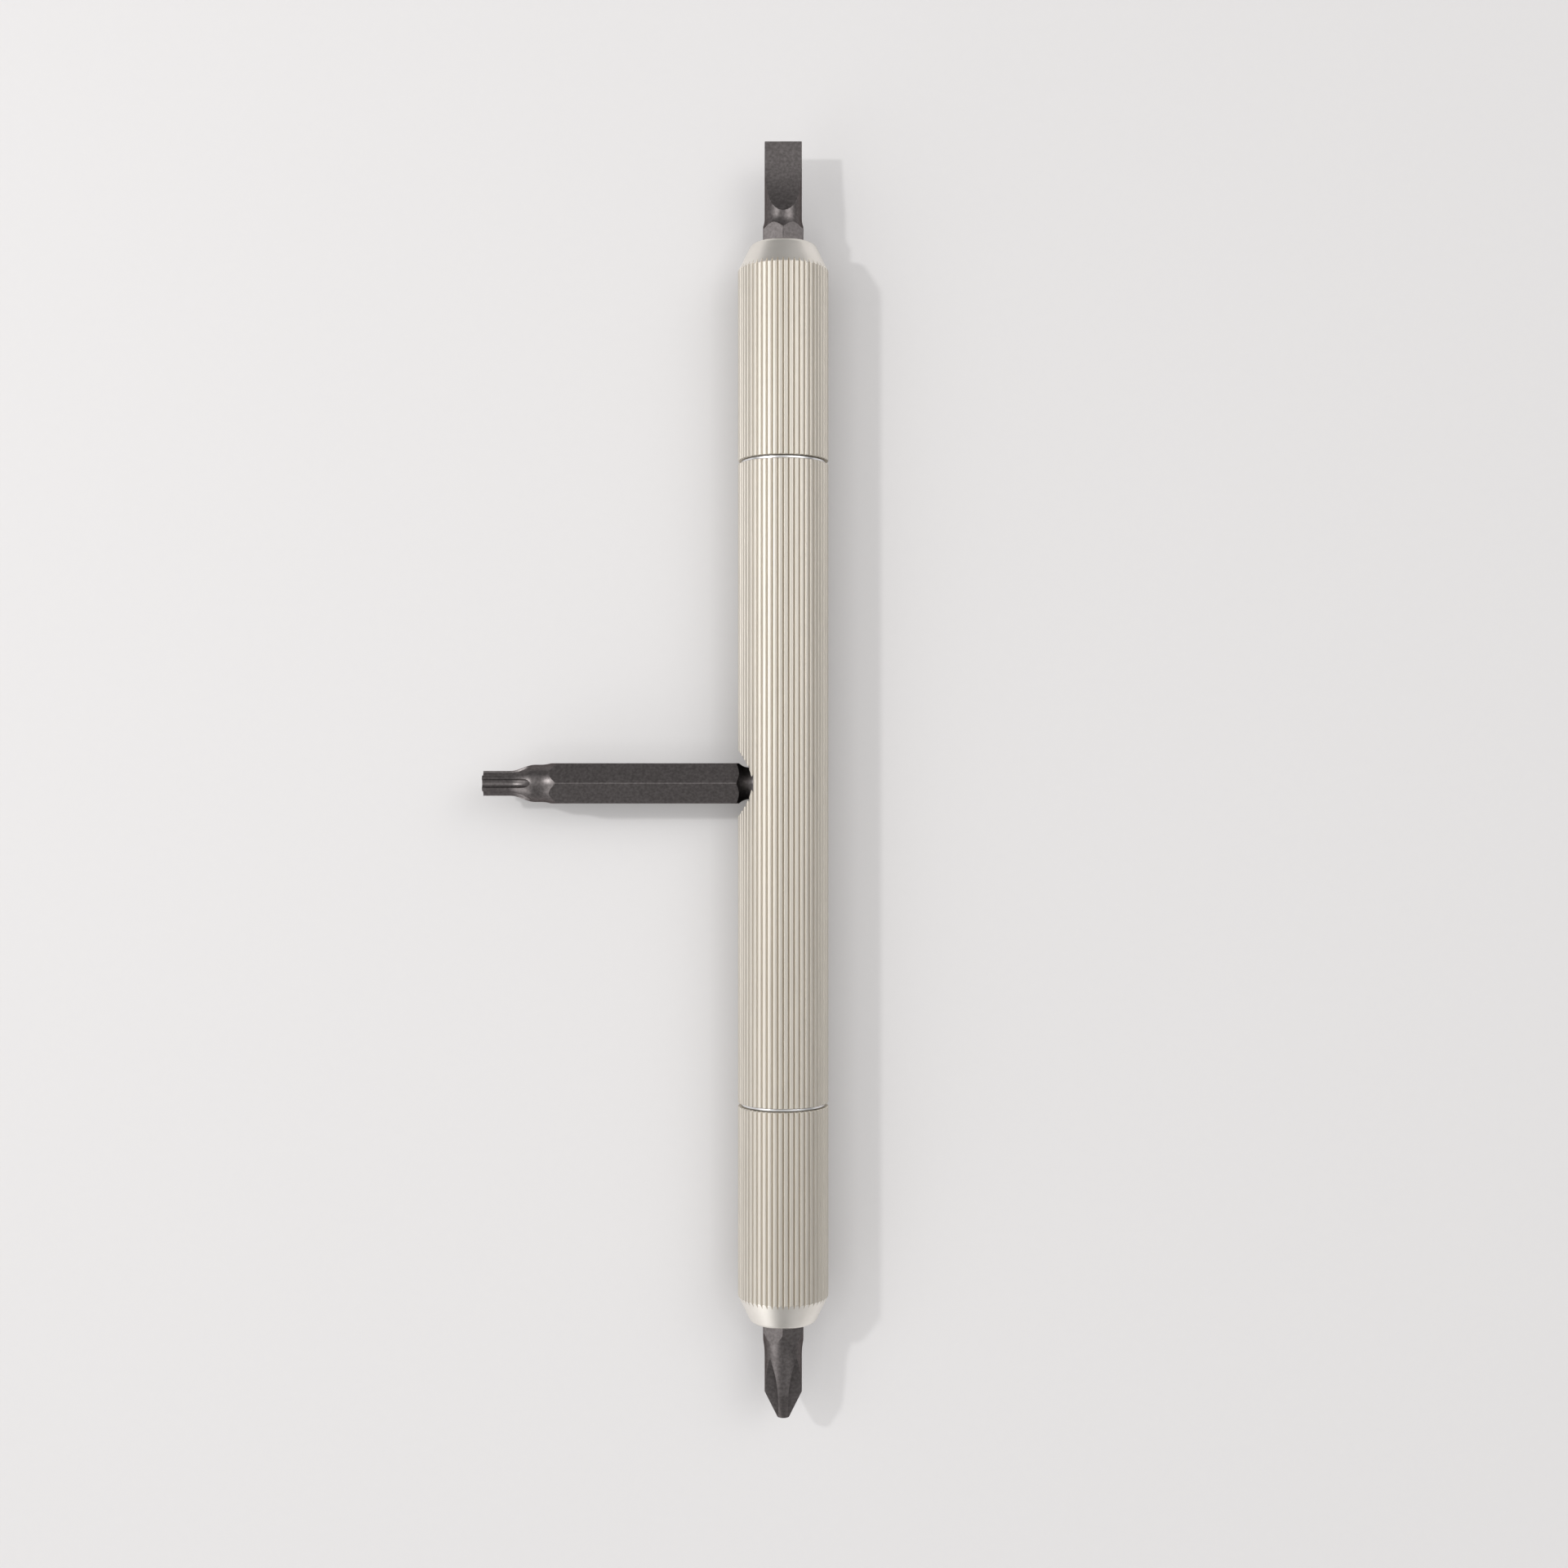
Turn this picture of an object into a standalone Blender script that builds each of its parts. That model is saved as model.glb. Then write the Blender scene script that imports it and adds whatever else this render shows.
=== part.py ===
"""Two-ended screwdriver handle with a cross lever, carrying three quarter-inch hex bits.

A straight-knurled aluminium barrel has a screwed-on cap at each end. Every cap holds a steel
hex socket, and a third socket sits in a blind cross hole at the middle of the barrel, so one bit
works while the bit in the cross hole is the lever. The tool lies along Y with the slotted bit at
+Y, the Phillips bit at -Y and the star bit along -X. Z is up, and z = 0 is the table.
"""
import math

import bmesh
import bpy

MM = 0.001

# Handle: knurled barrel and caps
HANDLE_DIAMETER = 14.3 * MM
RIB_COUNT = 51
RIB_DEPTH = 0.44 * MM
RIB_CREST_WIDTH = 0.46 * MM
RIB_SHOULDER_WIDTH = 0.60 * MM
RIB_SHOULDER_DEPTH = 0.06 * MM
BARREL_LENGTH = 100.7 * MM
CAP_LENGTH = 34.1 * MM
NOSE_LENGTH = 4.2 * MM
NOSE_ANGLE = math.radians(26.2)
NOSE_EDGE_ROUND = 1.0 * MM
NOSE_ROUND_STEPS = 4

# Quarter-inch hex bits with a ring groove near the rear end
BIT_ACROSS_FLATS = 6.35 * MM
BIT_CORNER_DIAMETER = 7.1 * MM
BIT_NECK_DIAMETER = 5.9 * MM
BIT_SHOULDER_STEPS = 4
BIT_REAR_CHAMFER = 0.5 * MM
RING_GROOVE_FROM_REAR = 7.9 * MM
RING_GROOVE_RADIUS = 2.4 * MM
RING_GROOVE_DIAMETER = 5.0 * MM
RING_GROOVE_STEPS = 6
SOCKET_DEPTH = 34.2 * MM

# Slotted bit: hollow-ground blade
SLOTTED_BIT_LENGTH = 50.6 * MM
SLOTTED_NECK_LENGTH = 11.4 * MM
SLOTTED_SHOULDER_RADIUS = 3.7 * MM
BLADE_WIDTH = 5.7 * MM
BLADE_TIP_THICKNESS = 1.0 * MM
BLADE_FACE_LENGTH = 5.3 * MM
BLADE_FACE_ANGLE = math.radians(3)
BLADE_GRIND_RADIUS = 10.5 * MM

# Phillips bit: cone with four V flutes that run out along an arc
PHILLIPS_BIT_LENGTH = 49.3 * MM
PHILLIPS_NECK_LENGTH = 9.65 * MM
PHILLIPS_SHOULDER_RADIUS = 13.0 * MM
PHILLIPS_TIP_DIAMETER = 1.7 * MM
PHILLIPS_POINT_ANGLE = math.radians(26.5)
PHILLIPS_FLUTE_COUNT = 4
PHILLIPS_FLUTE_WALL_ANGLE = math.radians(46)
PHILLIPS_ROOT_RADIUS = 1.05 * MM
PHILLIPS_ROOT_ANGLE = math.radians(2)
PHILLIPS_ROOT_STRAIGHT = 3.4 * MM
PHILLIPS_GRIND_RADIUS = 14.0 * MM

# Star bit: six round flutes that end in the neck
TORX_BIT_LENGTH = 50.0 * MM
TORX_NECK_LENGTH = 9.1 * MM
TORX_SHOULDER_RADIUS = 5.4 * MM
TORX_TIP_DIAMETER = 3.94 * MM
TORX_TIP_STRAIGHT = 4.2 * MM
TORX_FLARE_LENGTH = 4.0 * MM
TORX_FLUTE_COUNT = 6
TORX_CORE_DIAMETER = 2.84 * MM
TORX_FLUTE_RADIUS = 0.82 * MM
TORX_FLUTE_STRAIGHT = 4.2 * MM
TORX_FLUTE_RISE_RADIUS = 4.0 * MM
TORX_FLARE_STEPS = 6
TORX_FLUTE_RISE_STEPS = 6

# Bit sockets: sleeve pressed into the cap, collar seen in the seam, stud screwed into the barrel
SLEEVE_LENGTH = 22.0 * MM
SLEEVE_WALL = 0.9 * MM
COLLAR_THICKNESS = 0.4 * MM
COLLAR_RECESS = 0.08 * MM
STUD_DIAMETER = 10.0 * MM
STUD_LENGTH = 10.0 * MM
STUD_CHAMFER = 0.6 * MM
TAPPED_HOLE_SPARE = 1.0 * MM
SOCKET_LEAD_IN = 0.4 * MM

# Small inner pieces
MAGNET_DIAMETER = 6.0 * MM
END_MAGNET_LENGTH = 3.0 * MM
LEVER_MAGNET_LENGTH = 2.0 * MM
MAGNET_CHAMFER = 0.2 * MM
SNAP_RING_WIRE = 0.7 * MM
SNAP_RING_OPENING = math.radians(50)
SNAP_RING_STEPS = 22
O_RING_SECTION = 0.9 * MM
O_RING_FROM_COLLAR = 1.4 * MM

# Cross hole at the middle of the barrel
LEVER_INSERT = 2.6 * MM
LEVER_SOCKET_LENGTH = 8.5 * MM

# Clearances
FIT_GAP = 0.05 * MM
SLIDE_GAP = 0.08 * MM
NOSE_HOLE_GAP = 0.10 * MM
RING_SIDE_GAP = 0.10 * MM
SEAM_GAP = 0.10 * MM

# Facets
FINE_STEPS = 36
SMALL_STEPS = 24
TUBE_STEPS = 8
SNAP_RING_TUBE_STEPS = 2
TORX_FLUTE_TUBE_STEPS = 4
GRIND_STEPS = 8
CUTTER_OVERSHOOT = 2.0 * MM
SHARP_EDGE_ANGLE = math.radians(30)
WELD_DISTANCE = 1e-6

# Sizes that follow from those above
HANDLE_RADIUS = HANDLE_DIAMETER / 2
VALLEY_RADIUS = HANDLE_RADIUS - RIB_DEPTH
BIT_FLAT_RADIUS = BIT_ACROSS_FLATS / 2
BIT_CORNER_RADIUS = BIT_CORNER_DIAMETER / 2
BIT_NECK_RADIUS = BIT_NECK_DIAMETER / 2
RING_GROOVE_FLOOR = RING_GROOVE_DIAMETER / 2
MAGNET_RADIUS = MAGNET_DIAMETER / 2
STUD_RADIUS = STUD_DIAMETER / 2
HEX_BORE_FLAT_RADIUS = BIT_FLAT_RADIUS + SLIDE_GAP
SNAP_RING_RADIUS = RING_GROOVE_FLOOR + FIT_GAP + SNAP_RING_WIRE / 2
SNAP_GROOVE_RADIUS = BIT_CORNER_RADIUS + SNAP_RING_WIRE + FIT_GAP
SLEEVE_RADIUS = SNAP_GROOVE_RADIUS + SLEEVE_WALL
COLLAR_RADIUS = VALLEY_RADIUS - COLLAR_RECESS
O_RING_RADIUS = STUD_RADIUS + SLIDE_GAP - FIT_GAP - O_RING_SECTION / 2

# Places along the handle axis, measured from the middle of the barrel
BARREL_END = BARREL_LENGTH / 2
COLLAR_BACK = BARREL_END + FIT_GAP
COLLAR_FRONT = COLLAR_BACK + COLLAR_THICKNESS
CAP_BACK = COLLAR_FRONT + SEAM_GAP
CAP_FRONT = CAP_BACK + CAP_LENGTH
SLEEVE_FRONT = COLLAR_FRONT + SLEEVE_LENGTH
STUD_END = COLLAR_BACK - STUD_LENGTH
BIT_REAR = CAP_FRONT - SOCKET_DEPTH
END_MAGNET_FRONT = BIT_REAR - FIT_GAP
END_MAGNET_BACK = END_MAGNET_FRONT - END_MAGNET_LENGTH
SNAP_RING_PLACE = BIT_REAR + RING_GROOVE_FROM_REAR
O_RING_PLACE = COLLAR_BACK - O_RING_FROM_COLLAR

# Places along the cross hole, measured from the handle axis towards the star bit's tip
LEVER_BIT_REAR = -LEVER_INSERT
LEVER_MAGNET_FRONT = LEVER_BIT_REAR - FIT_GAP
LEVER_MAGNET_BACK = LEVER_MAGNET_FRONT - LEVER_MAGNET_LENGTH
LEVER_HOLE_FLOOR = LEVER_MAGNET_BACK - FIT_GAP
LEVER_SOCKET_BACK = LEVER_HOLE_FLOOR + FIT_GAP
LEVER_SOCKET_FRONT = LEVER_SOCKET_BACK + LEVER_SOCKET_LENGTH


def clear_scene():
    """Remove whatever the file holds before the tool is built."""
    for old in list(bpy.data.objects):
        bpy.data.objects.remove(old, do_unlink=True)


def make_collection(name):
    """Return a new collection under the scene."""
    collection = bpy.data.collections.new(name)
    bpy.context.scene.collection.children.link(collection)
    return collection


def make_material(name, colour, metallic, roughness):
    """Return a Principled material."""
    material = bpy.data.materials.new(name)
    material.use_nodes = True
    shader = material.node_tree.nodes["Principled BSDF"]
    shader.inputs["Base Color"].default_value = (*colour, 1.0)
    shader.inputs["Metallic"].default_value = metallic
    shader.inputs["Roughness"].default_value = roughness
    return material


def make_axis(name, rotation):
    """Return an empty on the handle axis whose local Z is the axis that its pieces sit on."""
    axis = bpy.data.objects.new(name, None)
    axis.location = (0, 0, HANDLE_RADIUS)
    axis.rotation_euler = rotation
    axis.empty_display_size = HANDLE_RADIUS
    PARTS.objects.link(axis)
    return axis


def place(piece, axis, height=0.0, turn=0.0):
    """Put a piece on an axis empty, a distance along it and turned about it."""
    piece.parent = axis
    piece.location = (0, 0, height)
    piece.rotation_euler = (0, 0, turn)


def add_part(name, mesh, material):
    """Make a named piece of the tool from a mesh."""
    piece = bpy.data.objects.new(name, mesh)
    mesh.materials.append(material)
    PARTS.objects.link(piece)
    return piece


def add_cutter(name, mesh):
    """Make a cutter, which shows as wire and is no piece of the tool."""
    cutter = bpy.data.objects.new(name, mesh)
    cutter.hide_render = True
    cutter.display_type = "WIRE"
    CUTTERS.objects.link(cutter)
    return cutter


def boolean(piece, operation, cutter):
    """Cut a piece with a cutter, or keep what they share."""
    modifier = piece.modifiers.new(f"{operation.lower()}_{cutter.name}", "BOOLEAN")
    modifier.operation = operation
    modifier.solver = "EXACT"
    modifier.object = cutter


def profile_mesh(name, points, closed=False):
    """Return a mesh of edges that joins (radius, height) points in the XZ plane."""
    mesh = bpy.data.meshes.new(name)
    edges = [(i, i + 1) for i in range(len(points) - 1)]
    if closed:
        edges.append((len(points) - 1, 0))
    mesh.from_pydata([(radius, 0, height) for radius, height in points], edges, [])
    return mesh


def turn_profile(piece, steps=FINE_STEPS):
    """Turn a piece's profile about its local Z."""
    screw = piece.modifiers.new("turned", "SCREW")
    screw.axis = "Z"
    screw.angle = math.tau
    screw.steps = steps
    screw.render_steps = steps
    screw.use_merge_vertices = True
    screw.merge_threshold = WELD_DISTANCE


def turned_part(name, points, material, steps=FINE_STEPS, closed=False):
    """Make a turned piece from a profile that runs down its outer side."""
    piece = add_part(name, profile_mesh(name, points, closed), material)
    turn_profile(piece, steps)
    return piece


def turned_cutter(name, points, steps=FINE_STEPS):
    """Make a turned cutter from a profile that runs down its outer side."""
    cutter = add_cutter(name, profile_mesh(name, points))
    turn_profile(cutter, steps)
    return cutter


def rod_profile(radius, top, bottom):
    """Return the profile of a plain rod."""
    return [(0, top), (radius, top), (radius, bottom), (0, bottom)]


def chamfered_rod_profile(radius, top, bottom, chamfer):
    """Return the profile of a rod with both its edges chamfered."""
    return [
        (0, top),
        (radius - chamfer, top),
        (radius, top - chamfer),
        (radius, bottom + chamfer),
        (radius - chamfer, bottom),
        (0, bottom),
    ]


def hex_prism_mesh(name, flat_radius, top, bottom):
    """Return a hexagonal prism along Z with corners on the local Y axis."""
    mesh = bpy.data.meshes.new(name)
    prism = bmesh.new()
    corner_radius = flat_radius / math.cos(math.pi / 6)
    bmesh.ops.create_cone(
        prism,
        cap_ends=True,
        segments=6,
        radius1=corner_radius,
        radius2=corner_radius,
        depth=top - bottom,
    )
    bmesh.ops.translate(prism, verts=prism.verts, vec=(0, 0, (top + bottom) / 2))
    prism.to_mesh(mesh)
    prism.free()
    return mesh


def curve_to_mesh(curve_object, name):
    """Return a welded mesh of a curve, and remove the curve."""
    depsgraph = bpy.context.evaluated_depsgraph_get()
    mesh = bpy.data.meshes.new_from_object(curve_object.evaluated_get(depsgraph))
    mesh.name = name
    welded = bmesh.new()
    welded.from_mesh(mesh)
    bmesh.ops.remove_doubles(welded, verts=welded.verts, dist=WELD_DISTANCE)
    bmesh.ops.recalc_face_normals(welded, faces=welded.faces)
    welded.to_mesh(mesh)
    welded.free()
    bpy.data.objects.remove(curve_object, do_unlink=True)
    return mesh


def curve_object(name, points, closed):
    """Return an object with one straight-sided spline through (x, y) points."""
    curve = bpy.data.curves.new(name, "CURVE")
    spline = curve.splines.new("POLY")
    spline.points.add(len(points) - 1)
    for spline_point, (x, y) in zip(spline.points, points):
        spline_point.co = (x, y, 0, 1)
    spline.use_cyclic_u = closed
    holder = bpy.data.objects.new(name, curve)
    CUTTERS.objects.link(holder)
    return holder


def outline_mesh(name, points, top, bottom):
    """Return a flat outline in the XY plane, extruded along Z between two heights."""
    holder = curve_object(name, points, closed=True)
    holder.data.dimensions = "2D"
    holder.data.fill_mode = "BOTH"
    holder.data.extrude = (top - bottom) / 2
    mesh = curve_to_mesh(holder, name)
    for vertex in mesh.vertices:
        vertex.co.z += (top + bottom) / 2
    return mesh


def tube_mesh(name, points, radius, steps):
    """Return a round closed tube along an open path of (x, y) points."""
    wire = curve_object(name, points, closed=False)
    wire.data.dimensions = "3D"
    wire.data.bevel_depth = radius
    wire.data.bevel_resolution = steps
    wire.data.use_fill_caps = True
    return curve_to_mesh(wire, name)


def arc_points(centre, radius, start, end, steps):
    """Return points along an arc, both ends included."""
    angles = [start + (end - start) * i / steps for i in range(steps + 1)]
    return [
        (centre[0] + radius * math.cos(angle), centre[1] + radius * math.sin(angle))
        for angle in angles
    ]


def rib_outline(first_crest):
    """Return the knurl's section: flat-topped ribs with sharp valleys between them.

    One crest lies at the given angle.
    """
    pitch = math.tau / RIB_COUNT
    shoulder_radius = HANDLE_RADIUS - RIB_SHOULDER_DEPTH
    rib_section = (
        (shoulder_radius, -RIB_SHOULDER_WIDTH / 2),
        (HANDLE_RADIUS, -RIB_CREST_WIDTH / 2),
        (HANDLE_RADIUS, RIB_CREST_WIDTH / 2),
        (shoulder_radius, RIB_SHOULDER_WIDTH / 2),
    )
    points = []
    for rib in range(RIB_COUNT):
        angle = first_crest + rib * pitch
        for out, side in rib_section:
            x = out * math.cos(angle) - side * math.sin(angle)
            y = out * math.sin(angle) + side * math.cos(angle)
            points.append((x, y))
        valley_angle = angle + pitch / 2
        points.append((VALLEY_RADIUS * math.cos(valley_angle), VALLEY_RADIUS * math.sin(valley_angle)))
    return points


def nose_profile():
    """Return the turned envelope of a cap: a cone with a rounded edge round the bit's hole."""
    clear_radius = HANDLE_RADIUS + CUTTER_OVERSHOOT
    cone_slope = math.tan(NOSE_ANGLE)
    cone_back = CAP_FRONT - NOSE_LENGTH
    end_radius = HANDLE_RADIUS - NOSE_LENGTH * cone_slope
    # The edge round touches the end face, and the cone, whose outward normal leans up by NOSE_ANGLE.
    setback = NOSE_EDGE_ROUND * math.tan((math.pi / 2 - NOSE_ANGLE) / 2)
    centre = (end_radius - setback, CAP_FRONT - NOSE_EDGE_ROUND)
    edge = arc_points(centre, NOSE_EDGE_ROUND, math.pi / 2, NOSE_ANGLE, NOSE_ROUND_STEPS)
    return [
        (0, CAP_FRONT),
        *edge,
        (clear_radius, cone_back - CUTTER_OVERSHOOT / cone_slope),
        (clear_radius, CAP_BACK - CUTTER_OVERSHOOT),
        (0, CAP_BACK - CUTTER_OVERSHOOT),
    ]


def build_barrel(axis):
    """Knurled barrel, tapped at both ends, with a blind cross hole at its middle."""
    outline = rib_outline(first_crest=math.pi / 2)
    mesh = outline_mesh("barrel", outline, BARREL_END, -BARREL_END)
    barrel = add_part("barrel", mesh, ALUMINIUM)
    place(barrel, axis)
    tapped_floor = STUD_END - TAPPED_HOLE_SPARE
    tapped_radius = STUD_RADIUS + SLIDE_GAP
    for end, turn in (("slotted", 0), ("phillips", math.pi)):
        profile = rod_profile(tapped_radius, BARREL_END + CUTTER_OVERSHOOT, tapped_floor)
        hole = turned_cutter(f"{end}_end_tapped_hole", profile)
        hole.parent = axis
        hole.rotation_euler = (turn, 0, 0)
        boolean(barrel, "DIFFERENCE", hole)
    return barrel


def build_cross_hole(barrel, axis):
    """Blind hole for the lever socket, wide enough to show as a round notch in the barrel."""
    top = HANDLE_RADIUS + CUTTER_OVERSHOOT
    profile = rod_profile(SLEEVE_RADIUS + FIT_GAP, top, LEVER_HOLE_FLOOR)
    hole = turned_cutter("cross_hole", profile)
    place(hole, axis)
    boolean(barrel, "DIFFERENCE", hole)


def build_cap(end, axis, first_crest):
    """Knurled cap with a conical nose, bored for the socket's sleeve and the bit."""
    name = f"{end}_end_cap"
    mesh = outline_mesh(name, rib_outline(first_crest), CAP_FRONT + CUTTER_OVERSHOOT, CAP_BACK)
    cap = add_part(name, mesh, ALUMINIUM)
    place(cap, axis)
    envelope = turned_cutter(f"{end}_nose_envelope", nose_profile())
    sleeve_bore_radius = SLEEVE_RADIUS + FIT_GAP
    nose_hole_radius = BIT_CORNER_RADIUS + NOSE_HOLE_GAP
    bore = turned_cutter(
        f"{end}_cap_bore",
        [
            (0, CAP_FRONT + CUTTER_OVERSHOOT),
            (nose_hole_radius, CAP_FRONT + CUTTER_OVERSHOOT),
            (nose_hole_radius, SLEEVE_FRONT + FIT_GAP),
            (sleeve_bore_radius, SLEEVE_FRONT + FIT_GAP),
            (sleeve_bore_radius, CAP_BACK - CUTTER_OVERSHOOT),
            (0, CAP_BACK - CUTTER_OVERSHOOT),
        ],
    )
    place(envelope, axis)
    place(bore, axis)
    boolean(cap, "INTERSECT", envelope)
    boolean(cap, "DIFFERENCE", bore)


def cut_hex_bore(socket, axis, front, floor, pocket_floor):
    """Cut a hex bore with a lead-in, and the round magnet pocket behind it."""
    top = front + CUTTER_OVERSHOOT
    mesh = hex_prism_mesh(f"{socket.name}_hex_bore", HEX_BORE_FLAT_RADIUS, top, floor)
    hex_bore = add_cutter(mesh.name, mesh)
    lead_in_radius = BIT_CORNER_RADIUS + SLIDE_GAP + SOCKET_LEAD_IN
    lead_in_depth = lead_in_radius + CUTTER_OVERSHOOT
    lead_in = turned_cutter(
        f"{socket.name}_lead_in",
        [(0, top), (lead_in_depth, top), (0, top - lead_in_depth)],
    )
    pocket = turned_cutter(
        f"{socket.name}_magnet_pocket",
        rod_profile(MAGNET_RADIUS + FIT_GAP, floor + MAGNET_RADIUS, pocket_floor),
        SMALL_STEPS,
    )
    for cutter in (hex_bore, lead_in, pocket):
        place(cutter, axis)
        boolean(socket, "DIFFERENCE", cutter)


def build_end_socket(end, axis):
    """Steel socket: sleeve in the cap, collar in the seam, stud in the barrel."""
    groove_floor = O_RING_RADIUS - O_RING_SECTION / 2 - FIT_GAP
    groove_half = O_RING_SECTION / 2 + RING_SIDE_GAP
    socket = turned_part(
        f"{end}_end_socket",
        [
            (0, SLEEVE_FRONT),
            (SLEEVE_RADIUS, SLEEVE_FRONT),
            (SLEEVE_RADIUS, COLLAR_FRONT),
            (COLLAR_RADIUS, COLLAR_FRONT),
            (COLLAR_RADIUS, COLLAR_BACK),
            (STUD_RADIUS, COLLAR_BACK),
            (STUD_RADIUS, O_RING_PLACE + groove_half),
            (groove_floor, O_RING_PLACE + groove_half),
            (groove_floor, O_RING_PLACE - groove_half),
            (STUD_RADIUS, O_RING_PLACE - groove_half),
            (STUD_RADIUS, STUD_END + STUD_CHAMFER),
            (STUD_RADIUS - STUD_CHAMFER, STUD_END),
            (0, STUD_END),
        ],
        STEEL,
    )
    place(socket, axis)
    cut_hex_bore(socket, axis, SLEEVE_FRONT, BIT_REAR - FIT_GAP, END_MAGNET_BACK - FIT_GAP)
    ring_half = SNAP_RING_WIRE / 2 + RING_SIDE_GAP
    snap_groove = turned_cutter(
        f"{end}_snap_ring_groove",
        rod_profile(SNAP_GROOVE_RADIUS, SNAP_RING_PLACE + ring_half, SNAP_RING_PLACE - ring_half),
    )
    place(snap_groove, axis)
    boolean(socket, "DIFFERENCE", snap_groove)


def build_lever_socket(axis):
    """Plain steel bush with a hex bore, pressed to the floor of the cross hole."""
    socket = turned_part(
        "lever_socket",
        rod_profile(SLEEVE_RADIUS, LEVER_SOCKET_FRONT, LEVER_SOCKET_BACK),
        STEEL,
    )
    place(socket, axis)
    pocket_floor = LEVER_SOCKET_BACK - CUTTER_OVERSHOOT
    cut_hex_bore(socket, axis, LEVER_SOCKET_FRONT, LEVER_BIT_REAR - FIT_GAP, pocket_floor)


def build_magnet(name, axis, front, back):
    """Disc magnet at the floor of a socket."""
    profile = chamfered_rod_profile(MAGNET_RADIUS, front, back, MAGNET_CHAMFER)
    magnet = turned_part(name, profile, NICKEL, SMALL_STEPS)
    place(magnet, axis)


def build_o_ring(end, axis):
    """Rubber ring in the stud's groove, sealing against the barrel."""
    section = arc_points(
        (O_RING_RADIUS, 0),
        O_RING_SECTION / 2,
        math.pi / 2,
        math.pi / 2 - math.tau * (TUBE_STEPS - 1) / TUBE_STEPS,
        TUBE_STEPS - 1,
    )
    ring = turned_part(f"{end}_end_o_ring", section, RUBBER, SMALL_STEPS, closed=True)
    place(ring, axis, O_RING_PLACE)


def build_snap_ring(end, axis):
    """Open wire ring that springs into the bit's ring groove."""
    start = SNAP_RING_OPENING / 2
    path = arc_points((0, 0), SNAP_RING_RADIUS, start, math.tau - start, SNAP_RING_STEPS)
    name = f"{end}_end_snap_ring"
    mesh = tube_mesh(name, path, SNAP_RING_WIRE / 2, SNAP_RING_TUBE_STEPS)
    ring = add_part(name, mesh, SPRING_STEEL)
    place(ring, axis, SNAP_RING_PLACE)


def shank_profile(neck_length, shoulder_radius, length):
    """Return the bit's profile behind the neck, as (radius, distance from the tip) points."""
    shoulder_rise = BIT_CORNER_RADIUS - BIT_NECK_RADIUS
    shoulder = arc_points(
        (BIT_NECK_RADIUS + shoulder_radius, neck_length),
        shoulder_radius,
        math.pi,
        math.pi - math.acos(1 - shoulder_rise / shoulder_radius),
        BIT_SHOULDER_STEPS,
    )
    groove_place = length - RING_GROOVE_FROM_REAR
    groove_centre = (RING_GROOVE_FLOOR + RING_GROOVE_RADIUS, groove_place)
    reach = math.acos((groove_centre[0] - BIT_CORNER_RADIUS) / RING_GROOVE_RADIUS)
    groove = arc_points(
        groove_centre,
        RING_GROOVE_RADIUS,
        math.pi + reach,
        math.pi - reach,
        RING_GROOVE_STEPS,
    )
    return [
        *shoulder,
        *groove,
        (BIT_CORNER_RADIUS, length - BIT_REAR_CHAMFER),
        (BIT_CORNER_RADIUS - BIT_REAR_CHAMFER, length),
        (0, length),
    ]


def build_bit(name, axis, rear, tip_profile, neck_length, shoulder_radius, length):
    """Turn a bit to its profile and give the shank its six flats."""
    tip = rear + length
    profile = [*tip_profile, *shank_profile(neck_length, shoulder_radius, length)]
    bit = turned_part(name, [(radius, -distance) for radius, distance in profile], BIT_STEEL)
    place(bit, axis, tip)
    top = CUTTER_OVERSHOOT
    mesh = hex_prism_mesh(f"{name}_flats", BIT_FLAT_RADIUS, top, -length - CUTTER_OVERSHOOT)
    flats = add_cutter(mesh.name, mesh)
    place(flats, axis, tip)
    boolean(bit, "INTERSECT", flats)
    return bit


def build_slotted_bit(axis):
    """Slotted bit whose blade is ground flat near the tip and hollow where it runs out."""
    tip_profile = [
        (0, 0),
        (BLADE_WIDTH / 2, 0),
        (BIT_NECK_RADIUS, BLADE_FACE_LENGTH),
    ]
    bit = build_bit(
        "slotted_bit",
        axis,
        BIT_REAR,
        tip_profile,
        SLOTTED_NECK_LENGTH,
        SLOTTED_SHOULDER_RADIUS,
        SLOTTED_BIT_LENGTH,
    )
    slope = math.tan(BLADE_FACE_ANGLE)
    face_start = (-CUTTER_OVERSHOOT, BLADE_TIP_THICKNESS / 2 - CUTTER_OVERSHOOT * slope)
    face_end = (BLADE_FACE_LENGTH, BLADE_TIP_THICKNESS / 2 + BLADE_FACE_LENGTH * slope)
    grind_centre = (
        face_end[0] - BLADE_GRIND_RADIUS * math.sin(BLADE_FACE_ANGLE),
        face_end[1] + BLADE_GRIND_RADIUS * math.cos(BLADE_FACE_ANGLE),
    )
    grind = arc_points(
        grind_centre,
        BLADE_GRIND_RADIUS,
        BLADE_FACE_ANGLE - math.pi / 2,
        0,
        GRIND_STEPS,
    )
    # The outline is drawn as (distance from the tip, height off the blade's middle).
    outline = [face_start, *grind, (face_start[0], grind[-1][1])]
    half_width = BIT_CORNER_RADIUS + CUTTER_OVERSHOOT
    for side, turn in (("upper", 0), ("lower", math.pi)):
        name = f"blade_{side}_grind"
        cutter = add_cutter(name, outline_mesh(name, outline, half_width, -half_width))
        cutter.parent = axis
        cutter.location = (0, 0, BIT_REAR + SLOTTED_BIT_LENGTH)
        # Outline x runs back from the tip, outline y away from the blade, its depth along X.
        cutter.rotation_euler = (0, math.pi / 2, turn)
        boolean(bit, "DIFFERENCE", cutter)


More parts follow.
